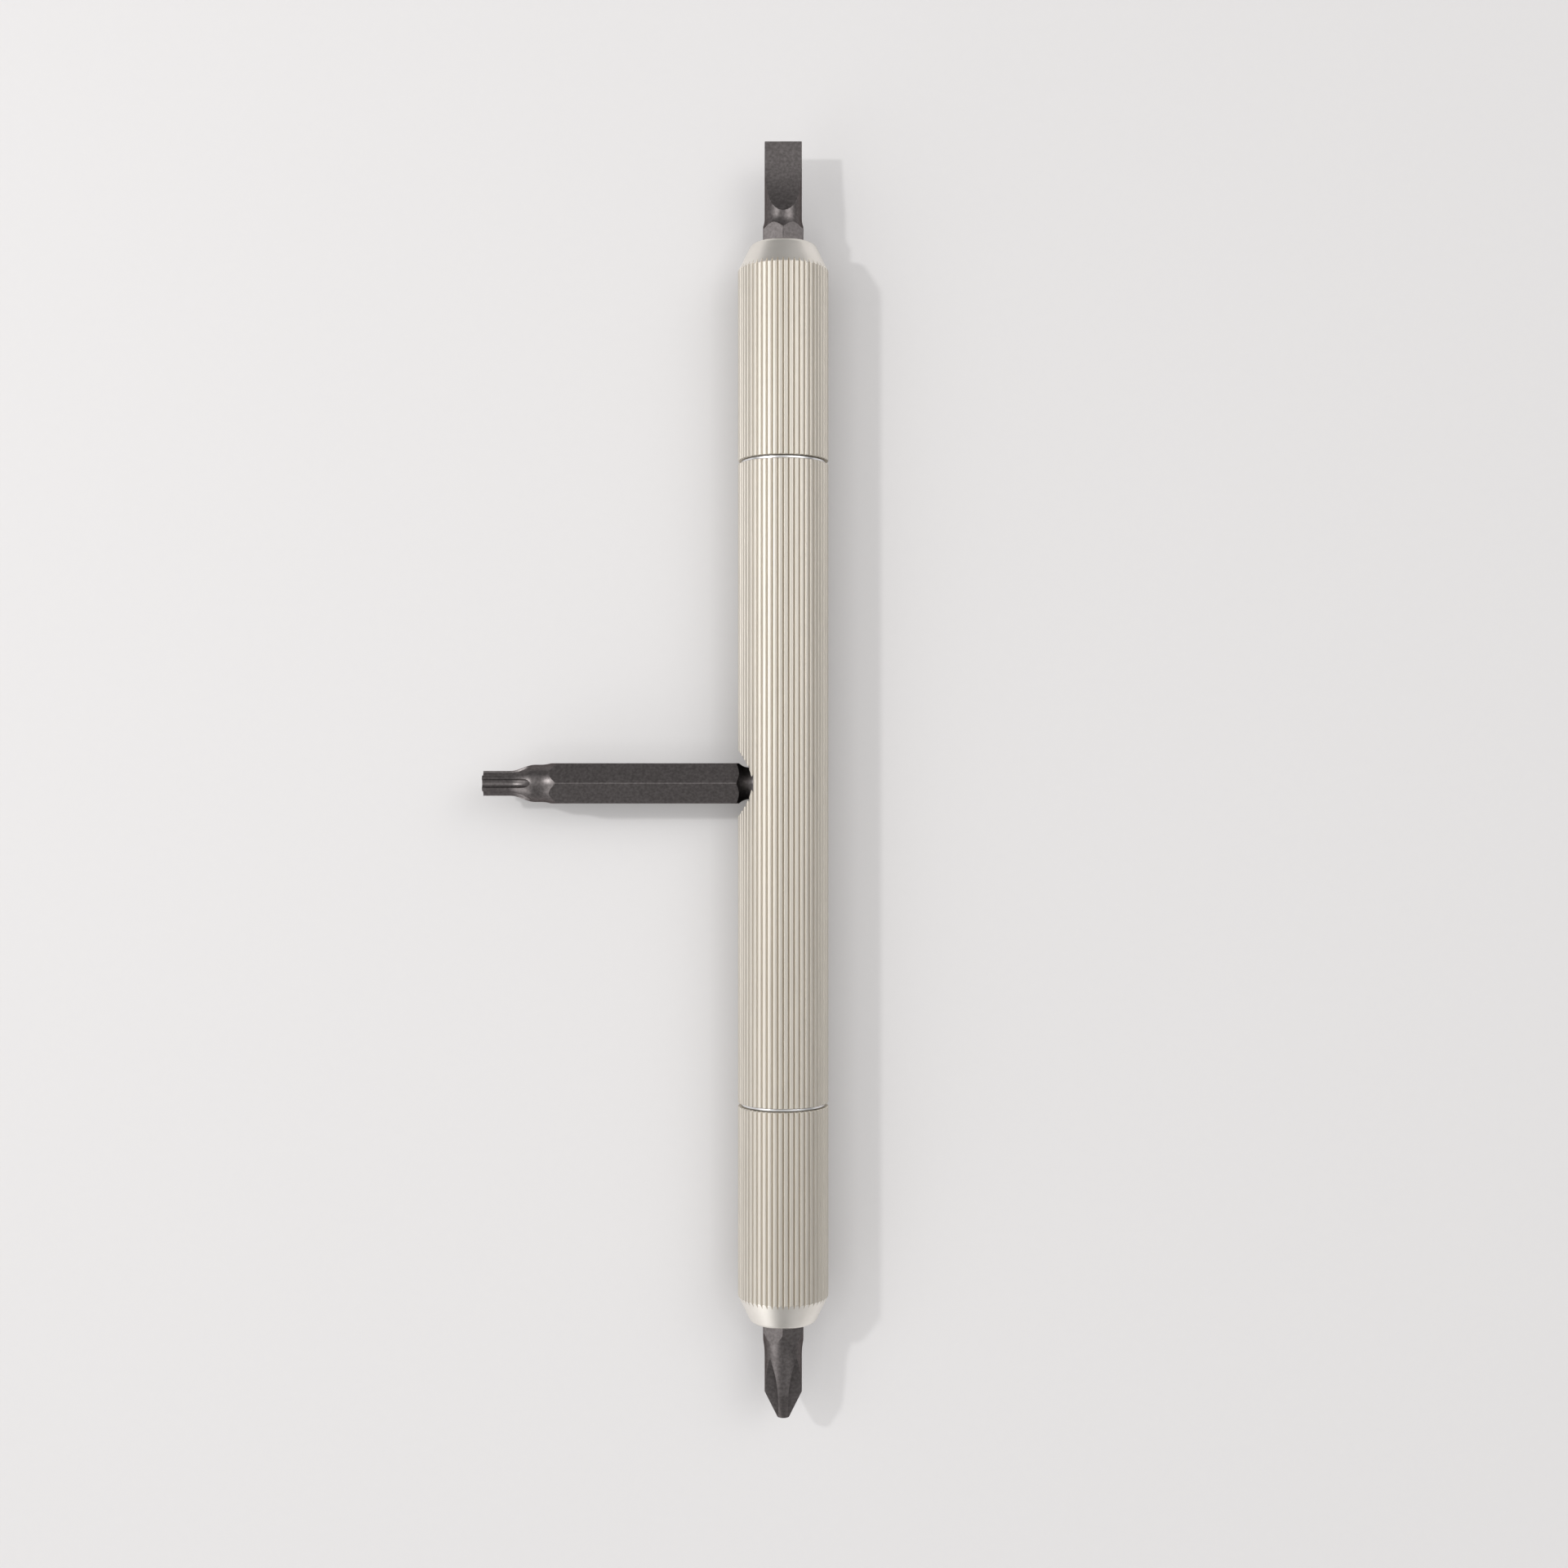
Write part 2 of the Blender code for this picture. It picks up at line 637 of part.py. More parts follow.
def phillips_root_path():
    """Return the flute root as (radius, distance from the tip): straight, then along an arc."""
    slope = math.tan(PHILLIPS_ROOT_ANGLE)
    start = (PHILLIPS_ROOT_RADIUS - CUTTER_OVERSHOOT * slope, -CUTTER_OVERSHOOT)
    straight_end = (PHILLIPS_ROOT_RADIUS + PHILLIPS_ROOT_STRAIGHT * slope, PHILLIPS_ROOT_STRAIGHT)
    centre = (
        straight_end[0] + PHILLIPS_GRIND_RADIUS * math.cos(PHILLIPS_ROOT_ANGLE),
        straight_end[1] - PHILLIPS_GRIND_RADIUS * math.sin(PHILLIPS_ROOT_ANGLE),
    )
    clear_radius = BIT_CORNER_RADIUS + CUTTER_OVERSHOOT
    arc_end = math.acos((centre[0] - clear_radius) / PHILLIPS_GRIND_RADIUS)
    run_out = arc_points(
        centre,
        PHILLIPS_GRIND_RADIUS,
        math.pi - PHILLIPS_ROOT_ANGLE,
        math.pi - arc_end,
        GRIND_STEPS,
    )
    return [start, *run_out]


def build_phillips_flutes():
    """Loft one cutter body per flute: a V section whose root follows the root path."""
    reach = BIT_CORNER_DIAMETER
    out = reach * math.cos(PHILLIPS_FLUTE_WALL_ANGLE)
    across = reach * math.sin(PHILLIPS_FLUTE_WALL_ANGLE)
    loft = bmesh.new()
    for flute in range(PHILLIPS_FLUTE_COUNT):
        angle = (flute + 0.5) * math.tau / PHILLIPS_FLUTE_COUNT
        sections = []
        for root, distance in phillips_root_path():
            section = []
            for radial, tangential in ((root, 0), (root + out, across), (root + out, -across)):
                x = radial * math.cos(angle) - tangential * math.sin(angle)
                y = radial * math.sin(angle) + tangential * math.cos(angle)
                section.append(loft.verts.new((x, y, -distance)))
            sections.append(section)
        for near, far in zip(sections, sections[1:]):
            for i in range(3):
                j = (i + 1) % 3
                loft.faces.new((near[i], near[j], far[j], far[i]))
        loft.faces.new(sections[0])
        loft.faces.new(sections[-1])
    bmesh.ops.recalc_face_normals(loft, faces=loft.faces)
    mesh = bpy.data.meshes.new("phillips_flutes")
    loft.to_mesh(mesh)
    loft.free()
    return add_cutter(mesh.name, mesh)


def build_phillips_bit(axis):
    """Phillips bit: blunt cone and four flutes, with a wing on the local X and Y axes."""
    cone_length = (BIT_NECK_RADIUS - PHILLIPS_TIP_DIAMETER / 2) / math.tan(PHILLIPS_POINT_ANGLE)
    tip_profile = [
        (0, 0),
        (PHILLIPS_TIP_DIAMETER / 2, 0),
        (BIT_NECK_RADIUS, cone_length),
    ]
    bit = build_bit(
        "phillips_bit",
        axis,
        BIT_REAR,
        tip_profile,
        PHILLIPS_NECK_LENGTH,
        PHILLIPS_SHOULDER_RADIUS,
        PHILLIPS_BIT_LENGTH,
    )
    flutes = build_phillips_flutes()
    place(flutes, axis, BIT_REAR + PHILLIPS_BIT_LENGTH)
    boolean(bit, "DIFFERENCE", flutes)


def build_torx_bit(axis):
    """Star bit: a straight tip that flares to the neck, with six flutes that end in the neck."""
    tip_radius = TORX_TIP_DIAMETER / 2
    flare = []
    for step in range(TORX_FLARE_STEPS + 1):
        share = step / TORX_FLARE_STEPS
        blend = (1 - math.cos(math.pi * share)) / 2
        radius = tip_radius + (BIT_NECK_RADIUS - tip_radius) * blend
        flare.append((radius, TORX_TIP_STRAIGHT + TORX_FLARE_LENGTH * share))
    tip_profile = [(0, 0), (tip_radius, 0), *flare]
    bit = build_bit(
        "torx_bit",
        axis,
        LEVER_BIT_REAR,
        tip_profile,
        TORX_NECK_LENGTH,
        TORX_SHOULDER_RADIUS,
        TORX_BIT_LENGTH,
    )
    # Each flute is a round cutter whose centre runs straight and then rises out along an arc.
    flute_place = TORX_CORE_DIAMETER / 2 + TORX_FLUTE_RADIUS
    rise_centre = (flute_place + TORX_FLUTE_RISE_RADIUS, -TORX_FLUTE_STRAIGHT)
    clear_place = BIT_CORNER_RADIUS + TORX_FLUTE_RADIUS
    rise_angle = math.acos(1 - (clear_place - flute_place) / TORX_FLUTE_RISE_RADIUS)
    rise = arc_points(
        rise_centre,
        TORX_FLUTE_RISE_RADIUS,
        math.pi,
        math.pi + rise_angle,
        TORX_FLUTE_RISE_STEPS,
    )
    path = [(flute_place, CUTTER_OVERSHOOT), *rise]
    for flute in range(TORX_FLUTE_COUNT):
        name = f"torx_flute_{flute + 1}"
        cutter = add_cutter(name, tube_mesh(name, path, TORX_FLUTE_RADIUS, TORX_FLUTE_TUBE_STEPS))
        cutter.parent = axis
        cutter.location = (0, 0, LEVER_BIT_REAR + TORX_BIT_LENGTH)
        # The path is drawn as (radius, height), so it is stood up before it is turned to its place.
        angle = math.pi / 2 + flute * math.tau / TORX_FLUTE_COUNT
        cutter.rotation_euler = (math.pi / 2, 0, angle)
        boolean(bit, "DIFFERENCE", cutter)


def shade_parts():
    """Shade round surfaces smooth and keep real edges sharp."""
    for piece in PARTS.objects:
        if piece.type == "MESH" and piece.data.polygons:
            piece.data.shade_smooth()
            piece.data.set_sharp_from_angle(angle=SHARP_EDGE_ANGLE)


clear_scene()
PARTS = make_collection("two_ended_screwdriver")
CUTTERS = make_collection("cutters")
ALUMINIUM = make_material("satin_aluminium", (0.78, 0.75, 0.69), 1.0, 0.38)
STEEL = make_material("polished_steel", (0.62, 0.62, 0.63), 1.0, 0.18)
BIT_STEEL = make_material("black_oxide_steel", (0.10, 0.098, 0.098), 1.0, 0.42)
SPRING_STEEL = make_material("spring_steel", (0.45, 0.45, 0.46), 1.0, 0.30)
NICKEL = make_material("nickel_plate", (0.66, 0.64, 0.60), 1.0, 0.20)
RUBBER = make_material("black_rubber", (0.02, 0.02, 0.02), 0.0, 0.70)

SLOTTED_AXIS = make_axis("slotted_end_axis", (-math.pi / 2, 0, 0))
PHILLIPS_AXIS = make_axis("phillips_end_axis", (math.pi / 2, 0, 0))
LEVER_AXIS = make_axis("lever_axis", (math.pi / 2, 0, -math.pi / 2))

# The knurl has a crest at the bottom of the tool, which is local +Y at the slotted end.
build_cross_hole(build_barrel(SLOTTED_AXIS), LEVER_AXIS)
for END_NAME, END_AXIS, BOTTOM_ANGLE in (
    ("slotted", SLOTTED_AXIS, math.pi / 2),
    ("phillips", PHILLIPS_AXIS, -math.pi / 2),
):
    build_cap(END_NAME, END_AXIS, BOTTOM_ANGLE)
    build_end_socket(END_NAME, END_AXIS)
    build_magnet(f"{END_NAME}_end_magnet", END_AXIS, END_MAGNET_FRONT, END_MAGNET_BACK)
    build_o_ring(END_NAME, END_AXIS)
    build_snap_ring(END_NAME, END_AXIS)
build_lever_socket(LEVER_AXIS)
build_magnet("lever_magnet", LEVER_AXIS, LEVER_MAGNET_FRONT, LEVER_MAGNET_BACK)
build_slotted_bit(SLOTTED_AXIS)
build_phillips_bit(PHILLIPS_AXIS)
build_torx_bit(LEVER_AXIS)
shade_parts()
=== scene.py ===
"""Looks of the two-ended screwdriver: fine meshes, finishes, floor, studio light and the photo's camera.

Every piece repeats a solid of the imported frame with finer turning, knurl, threads and edges, and
stands where that solid is. Shapes are drawn on three axes: the slotted end, the Phillips end and
the cross lever, each with its local Z towards its bit's tip.
"""

import math

import bmesh
import bpy
from mathutils import Euler, Matrix, Vector


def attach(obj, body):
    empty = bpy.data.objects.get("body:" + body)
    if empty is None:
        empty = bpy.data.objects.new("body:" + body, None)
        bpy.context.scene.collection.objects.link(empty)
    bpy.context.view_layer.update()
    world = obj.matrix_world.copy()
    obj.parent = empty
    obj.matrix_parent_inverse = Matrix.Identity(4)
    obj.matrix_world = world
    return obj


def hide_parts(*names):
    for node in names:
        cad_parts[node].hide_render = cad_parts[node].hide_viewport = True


MM = 0.001

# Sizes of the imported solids
HANDLE_RADIUS = 7.15 * MM
RIB_COUNT = 51
BARREL_END = 50.35 * MM
COLLAR_BACK = 50.40 * MM
COLLAR_FRONT = 50.80 * MM
COLLAR_RADIUS = 6.63 * MM
CAP_BACK = 50.90 * MM
CAP_FRONT = 85.00 * MM
NOSE_LENGTH = 4.2 * MM
NOSE_ANGLE = math.radians(26.2)
NOSE_EDGE_ROUND = 1.0 * MM
NOSE_HOLE_RADIUS = 3.65 * MM
SLEEVE_RADIUS = 5.20 * MM
SLEEVE_FRONT = 72.80 * MM
STUD_RADIUS = 5.0 * MM
STUD_END = 40.40 * MM
STUD_CHAMFER = 0.6 * MM
TAPPED_RADIUS = 5.08 * MM
TAPPED_FLOOR = 39.40 * MM
FIT_GAP = 0.05 * MM
BIT_REAR = 50.80 * MM
BIT_FLAT_RADIUS = 3.175 * MM
BIT_NECK_RADIUS = 2.95 * MM
BIT_REAR_CHAMFER = 0.5 * MM
RING_GROOVE_RADIUS = 2.4 * MM
RING_GROOVE_FLOOR = 2.5 * MM
RING_GROOVE_FROM_REAR = 7.9 * MM
HEX_BORE_FLAT_RADIUS = 3.255 * MM
LEAD_IN_RADIUS = 4.03 * MM
MAGNET_RADIUS = 3.0 * MM
END_MAGNET = (50.75 * MM, 47.75 * MM)
LEVER_MAGNET = (-2.65 * MM, -4.65 * MM)
SNAP_RING_PLACE = 58.70 * MM
SNAP_RING_RADIUS = 2.90 * MM
SNAP_RING_WIRE = 0.35 * MM
SNAP_GROOVE_RADIUS = 4.30 * MM
O_RING_PLACE = 49.0 * MM
O_RING_RADIUS = 4.58 * MM
O_RING_WIRE = 0.45 * MM
O_RING_GROOVE_FLOOR = 4.08 * MM
RING_SIDE_GAP = 0.1 * MM
LEVER_BIT_REAR = -2.60 * MM
LEVER_SOCKET = (3.85 * MM, -4.65 * MM)
CROSS_HOLE_RADIUS = 5.25 * MM
CROSS_HOLE_FLOOR = -4.70 * MM

# Sizes that were read again from the photo after the imported solids were made
RIB_DEPTH = 0.34 * MM
BIT_CORNER_RADIUS = 3.61 * MM

# Half of a rib, from the middle of its crest to the valley, as (side, drop) in millimetres
RIB_HALF_SECTION = ((0.0, 0.0), (0.20, 0.0), (0.255, 0.02), (0.305, 0.07), (0.44, RIB_DEPTH / MM))

# Fine detail, most of which the solids leave out
EDGE_BREAK = 0.07 * MM
SOFT_EDGE = 0.2 * MM
MOUTH_CHAMFER = 0.3 * MM
NOSE_HOLE_BREAK = 0.12 * MM
THREAD_PITCH = 1.0 * MM
THREAD_DEPTH = 0.52 * MM
THREAD_ROWS = 10
THREAD_SLOPE = 1.16
THREAD_CREST = 0.08
ROUND_STEPS = 96
FINE_ROUND_STEPS = 144
CLEAR = 2.0 * MM

# Faces larger than this are ground flats, which are shaded flat up to their edges
FLAT_AREA = 8 * MM * MM

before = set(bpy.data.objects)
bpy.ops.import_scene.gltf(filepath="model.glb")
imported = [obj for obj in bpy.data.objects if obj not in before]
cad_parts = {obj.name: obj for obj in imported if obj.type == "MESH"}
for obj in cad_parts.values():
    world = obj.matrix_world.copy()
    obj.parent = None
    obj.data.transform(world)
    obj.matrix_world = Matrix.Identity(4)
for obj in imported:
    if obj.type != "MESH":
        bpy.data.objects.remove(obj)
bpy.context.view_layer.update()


def axis_matrix(x, y, z):
    """Return the frame of an axis through the middle of the handle."""
    turn = Euler((math.radians(x), math.radians(y), math.radians(z)))
    return Matrix.Translation((0, 0, HANDLE_RADIUS)) @ turn.to_matrix().to_4x4()


SLOTTED_AXIS = axis_matrix(-90, 0, 0)
PHILLIPS_AXIS = axis_matrix(90, 0, 0)
LEVER_AXIS = axis_matrix(90, 0, -90)


def ring(radius, height, steps=ROUND_STEPS):
    """Return a row of points round the local Z axis."""
    angles = [math.tau * i / steps for i in range(steps)]
    return [(radius * math.cos(a), radius * math.sin(a), height) for a in angles]


def skin(rows, closed=False):
    """Join rows of points into one skin; a row of one point is a pole."""
    points = []
    starts = []
    for row in rows:
        starts.append(len(points))
        points.extend(row)
    pairs = list(zip(range(len(rows)), range(1, len(rows))))
    if closed:
        pairs.append((len(rows) - 1, 0))
    faces = []
    for upper, lower in pairs:
        n, m = len(rows[upper]), len(rows[lower])
        for i in range(max(n, m)):
            j = i + 1
            corners = (
                starts[upper] + i % n,
                starts[lower] + i % m,
                starts[lower] + j % m,
                starts[upper] + j % n,
            )
            faces.append(tuple(dict.fromkeys(corners)))
    return points, faces


def lathe(profile, steps=ROUND_STEPS):
    """Turn (radius, height) points about the local Z axis; a zero radius is a pole."""
    rows = [ring(r, h, steps) if r > 0 else [(0, 0, h)] for r, h in profile]
    return skin(rows)


def rod(radius, top, bottom, steps=ROUND_STEPS):
    """Return a plain rod."""
    return lathe([(0, top), (radius, top), (radius, bottom), (0, bottom)], steps)


def hex_prism(flat_radius, top, bottom):
    """Return a hexagonal prism with corners on the local Y axis."""
    corner = flat_radius / math.cos(math.pi / 6)
    turned = [math.pi / 2 + i * math.pi / 3 for i in range(6)]
    rows = [[(corner * math.cos(a), corner * math.sin(a), h) for a in turned] for h in (top, bottom)]
    return skin([[(0, 0, top)], *rows, [(0, 0, bottom)]])


def arc(centre, radius, start, end, steps):
    """Return points along an arc in a plane, both ends included."""
    angles = [start + (end - start) * i / steps for i in range(steps + 1)]
    return [(centre[0] + radius * math.cos(a), centre[1] + radius * math.sin(a)) for a in angles]


def tube(path, radius, steps, across, along, side):
    """Return a closed round tube whose centre follows plane points on two axes."""
    across, along, side = Vector(across), Vector(along), Vector(side)
    centres = [across * u + along * v for u, v in path]
    rows = [[tuple(centres[0])]]
    for i, centre in enumerate(centres):
        before, after = centres[max(i - 1, 0)], centres[min(i + 1, len(centres) - 1)]
        out = (after - before).normalized().cross(side)
        turned = [math.tau * k / steps for k in range(steps)]
        rows.append([tuple(centre + radius * (out * math.cos(a) + side * math.sin(a))) for a in turned])
    rows.append([tuple(centres[-1])])
    return skin(rows)


def make_mesh(name, shape, axis):
    """Return a mesh of a shape drawn on an axis, with its faces turned outward."""
    points, faces = shape
    mesh = bpy.data.meshes.new(name)
    mesh.from_pydata([axis @ Vector(p) for p in points], [], faces)
    fixed = bmesh.new()
    fixed.from_mesh(mesh)
    bmesh.ops.recalc_face_normals(fixed, faces=fixed.faces)
    fixed.to_mesh(mesh)
    fixed.free()
    return mesh


def add_object(name, shape, axis):
    """Add a shape to the scene as an object at the origin."""
    made = bpy.data.objects.new(name, make_mesh(name, shape, axis))
    bpy.context.scene.collection.objects.link(made)
    return made


def carve(piece, operation, shapes, axis):
    """Cut shapes out of a piece, or keep what they share, and keep only the result."""
    cutters = [add_object("cutter", shape, axis) for shape in shapes]
    for cutter in cutters:
        modifier = piece.modifiers.new("carve", "BOOLEAN")
        modifier.operation = operation
        modifier.solver = "EXACT"
        modifier.object = cutter
    depsgraph = bpy.context.evaluated_depsgraph_get()
    result = bpy.data.meshes.new_from_object(piece.evaluated_get(depsgraph))
    piece.modifiers.clear()
    old = [piece.data] + [cutter.data for cutter in cutters]
    piece.data = result
    for cutter in cutters:
        bpy.data.objects.remove(cutter, do_unlink=True)
    for mesh in old:
        bpy.data.meshes.remove(mesh)


def dress(piece, node, body, looks, sharp=30):
    """Finish a piece: looks, shading, and the node and body that it stands for."""
    piece.data.name = piece.name
    for look in looks:
        piece.data.materials.append(look)
    piece.data.shade_smooth()
    piece.data.set_sharp_from_angle(angle=math.radians(sharp))
    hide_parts(node)
    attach(piece, body)


# Materials

# Nearly all of a noise lies between these values
NOISE_LOW = 0.3
NOISE_HIGH = 0.7

# Colours of the finishes
CREST_DARK = (0.600, 0.564, 0.503)
CREST_BRIGHT = (0.646, 0.608, 0.543)
CREST_CLOUD = (0.578, 0.542, 0.480, 1)
# Painted light: the knurl's valleys are lightened towards this colour
VALLEY_PAINTED_LIGHT = (0.74, 0.685, 0.60, 1)
# Painted shade inside the cross hole
HOLE_PAINTED_SHADE = (0.09, 0.085, 0.08, 1)
NOSE_DARK = (0.86, 0.825, 0.765)
NOSE_BRIGHT = (0.90, 0.865, 0.81)
OXIDE_DARK = (0.124, 0.113, 0.111)
OXIDE_BRIGHT = (0.179, 0.1635, 0.162)
OXIDE_WEAR_AND_HIGHLIGHT = (0.27, 0.25, 0.245, 1)
OXIDE_GLOSS = (0.42, 0.39, 0.385, 1)
STEEL_WEAR_AND_HIGHLIGHT = (0.9, 0.9, 0.9, 1)
RUBBER_DARK = (0.014, 0.014, 0.014)
RUBBER_BRIGHT = (0.030, 0.029, 0.028)


def new_look(name, metallic=1.0):
    """Return a node material, its tree, its shader and the place on the piece."""
    material = bpy.data.materials.new(name)
    material.use_nodes = True
    tree = material.node_tree
    shader = tree.nodes["Principled BSDF"]
    shader.inputs["Metallic"].default_value = metallic
    place = tree.nodes.new("ShaderNodeTexCoord").outputs["Object"]
    return material, tree, shader, place


def put(tree, kind, inputs, **settings):
    """Add a shader node; an input given as a socket is linked, any other is set."""
    made = tree.nodes.new("ShaderNode" + kind)
    for key, value in settings.items():
        setattr(made, key, value)
    for key, value in inputs.items():
        if isinstance(value, bpy.types.NodeSocket):
            tree.links.new(value, made.inputs[key])
        else:
            made.inputs[key].default_value = value
    return made


def noise(tree, place, scale, detail=2.0):
    """Return noise stretched by a scale per axis, in repeats per metre."""
    stretched = put(tree, "Mapping", {"Vector": place, "Scale": scale})
    made = put(tree, "TexNoise", {"Vector": stretched.outputs[0], "Scale": 1.0, "Detail": detail})
    return made.outputs["Fac"]


def math_node(tree, operation, first, second=0.0):
    """Return the result of a Math node."""
    return put(tree, "Math", {0: first, 1: second}, operation=operation).outputs[0]


def spread(tree, value, low, high, to_low, to_high):
    """Map a value from one range to another, clamped."""
    inputs = {"Value": value, "From Min": low, "From Max": high, "To Min": to_low, "To Max": to_high}
    return put(tree, "MapRange", inputs).outputs[0]


def noise_spread(tree, value, to_low, to_high):
    """Map a noise to a range, clamped."""
    return spread(tree, value, NOISE_LOW, NOISE_HIGH, to_low, to_high)


def blend(tree, factor, first, second):
    """Mix two colours by a factor."""
    inputs = {0: factor, 6: first, 7: second}
    return put(tree, "Mix", inputs, data_type="RGBA").outputs[2]


def plain_blend(tree, factor, first, second):
    """Mix two colours that are given as three numbers each."""
    return blend(tree, factor, (*first, 1), (*second, 1))


def set_finish(tree, shader, colour, roughness):
    """Give a shader its colour and roughness."""
    tree.links.new(colour, shader.inputs["Base Color"])
    tree.links.new(roughness, shader.inputs["Roughness"])


def set_bump(tree, shader, height, distance, strength, normal=None):
    """Give a shader a bump from a height."""
    inputs = {"Height": height, "Distance": distance, "Strength": strength}
    if normal is not None:
        inputs["Normal"] = normal
    bump = put(tree, "Bump", inputs)
    tree.links.new(bump.outputs[0], shader.inputs["Normal"])


def edge_mask(tree, radius):
    """Return a softened normal and a mask of the edges that it rounds."""
    soft = put(tree, "Bevel", {"Radius": radius}, samples=6).outputs[0]
    flat = tree.nodes.new("ShaderNodeNewGeometry").outputs["Normal"]
    closeness = put(tree, "VectorMath", {0: soft, 1: flat}, operation="DOT_PRODUCT").outputs["Value"]
    return soft, spread(tree, closeness, 0.992, 0.90, 0.0, 1.0)


def axis_radius(tree, place):
    """Return the distance of a place from the handle axis."""
    parts = put(tree, "SeparateXYZ", {"Vector": place}).outputs
    height = math_node(tree, "SUBTRACT", parts["Z"], HANDLE_RADIUS)
    squares = math_node(tree, "ADD", math_node(tree, "MULTIPLY", parts["X"], parts["X"]),
                        math_node(tree, "MULTIPLY", height, height))
    return math_node(tree, "SQRT", squares)


def knurl_look():
    """Satin aluminium: drawn lines along the ribs, painted light that brightens the valleys and painted
    shade that darkens the cross hole.
    """
    material, tree, shader, place = new_look("knurled_aluminium")
    lines = noise(tree, place, (2600, 140, 2600), 3)
    cloud = noise(tree, place, (160, 45, 160), 3)
    grain = noise(tree, place, (8000, 5000, 8000), 2)
    radius = axis_radius(tree, place)
    valley_radius = HANDLE_RADIUS - RIB_DEPTH
    shoulder_drop = 0.06 * MM
    hole_fade = 0.5 * MM
    hole_start = 0.1 * MM
    hole_full = 0.4 * MM
    valley = spread(tree, radius, valley_radius, HANDLE_RADIUS - shoulder_drop, 1, 0)
    crest = plain_blend(tree, noise_spread(tree, lines, 0, 1), CREST_DARK, CREST_BRIGHT)
    tone = blend(tree, spread(tree, cloud, 0.35, 0.7, 0.0, 0.35), crest, CREST_CLOUD)
    # Painted light: the valleys are lightened towards a brighter colour, which stands in for light reaching
    # into them
    valley_light_share = math_node(tree, "MULTIPLY", math_node(tree, "POWER", valley, 1.6), 0.75)
    ribbed = blend(tree, valley_light_share, tone, VALLEY_PAINTED_LIGHT)
    along = math_node(tree, "ABSOLUTE", put(tree, "SeparateXYZ", {"Vector": place}).outputs["Y"])
    # Painted shade: the bore of the cross hole is darkened towards a near-black colour
    near_hole = spread(tree, along, CROSS_HOLE_RADIUS, CROSS_HOLE_RADIUS + hole_fade, 1, 0)
    inside = spread(tree, radius, valley_radius - hole_full, valley_radius - hole_start, 1, 0)
    colour = blend(tree, math_node(tree, "MULTIPLY", near_hole, inside), ribbed, HOLE_PAINTED_SHADE)
    line_rough = noise_spread(tree, lines, 0.50, 0.56)
    rough = math_node(tree, "ADD", line_rough, spread(tree, valley, 0, 1, 0, 0.05))
    set_finish(tree, shader, colour, rough)
    height = math_node(tree, "ADD", grain, math_node(tree, "MULTIPLY", lines, 0.6))
    set_bump(tree, shader, height, 0.004 * MM, 0.5)
    return material


def nose_look():
    """Turned aluminium: fine tool lines round the nose."""
    material, tree, shader, place = new_look("turned_aluminium")
    rings = noise(tree, place, (40, 7000, 40), 2)
    cloud = noise(tree, place, (300, 300, 300), 2)
    colour = plain_blend(tree, noise_spread(tree, cloud, 0, 1), NOSE_DARK, NOSE_BRIGHT)
    set_finish(tree, shader, colour, noise_spread(tree, rings, 0.33, 0.38))
    set_bump(tree, shader, rings, 0.0006 * MM, 0.5)
    return material


def bit_look():
    """Black-oxide tool steel: mottled, finely ground, and brighter along its edges from wear and a painted
    edge highlight.
    """
    material, tree, shader, place = new_look("black_oxide_steel")
    soft, edge = edge_mask(tree, 0.03 * MM)
    mottle = noise(tree, place, (2400, 2400, 2400), 3)
    grain = noise(tree, place, (6500, 6500, 6500), 3)
    body = plain_blend(tree, spread(tree, mottle, 0.35, 0.68, 0, 1), OXIDE_DARK, OXIDE_BRIGHT)
    # Edges are lightened partly as wear and partly as a painted edge highlight
    wear_and_highlight = math_node(tree, "MULTIPLY", edge, spread(tree, mottle, 0.35, 0.6, 0.03, 0.15))
    colour = blend(tree, wear_and_highlight, body, OXIDE_WEAR_AND_HIGHLIGHT)
    shader.inputs["Specular Tint"].default_value = OXIDE_GLOSS
    set_finish(tree, shader, colour, noise_spread(tree, mottle, 0.37, 0.41))
    set_bump(tree, shader, grain, 0.0025 * MM, 0.5, soft)
    return material


def steel_look(name, dark, bright, rough, lines):
    """Metal with turned lines, in repeats per metre along each axis, and edges brightened by wear and a
    painted edge highlight.
    """
    material, tree, shader, place = new_look(name)
    soft, edge = edge_mask(tree, 0.06 * MM)
    turned = noise(tree, place, lines, 2)
    tone = plain_blend(tree, noise_spread(tree, turned, 0, 1), dark, bright)
    # Edges are lightened partly as wear and partly as a painted edge highlight
    colour = blend(tree, math_node(tree, "MULTIPLY", edge, 0.5), tone, STEEL_WEAR_AND_HIGHLIGHT)
    set_finish(tree, shader, colour, noise_spread(tree, turned, rough - 0.04, rough + 0.05))
    set_bump(tree, shader, turned, 0.004 * MM, 0.4, soft)
    return material


def rubber_look():
    """Matte black rubber with a fine moulded grain."""
    material, tree, shader, place = new_look("black_rubber", 0.0)
    grain = noise(tree, place, (4000, 4000, 4000), 3)
    colour = plain_blend(tree, grain, RUBBER_DARK, RUBBER_BRIGHT)
    set_finish(tree, shader, colour, noise_spread(tree, grain, 0.55, 0.72))
    set_bump(tree, shader, grain, 0.01 * MM, 0.4)
    return material


KNURL = knurl_look()
NOSE = nose_look()
BIT_STEEL = bit_look()
SOCKET_STEEL = steel_look("polished_steel", (0.80, 0.80, 0.81), (0.90, 0.90, 0.91), 0.30, (60, 9000, 60))
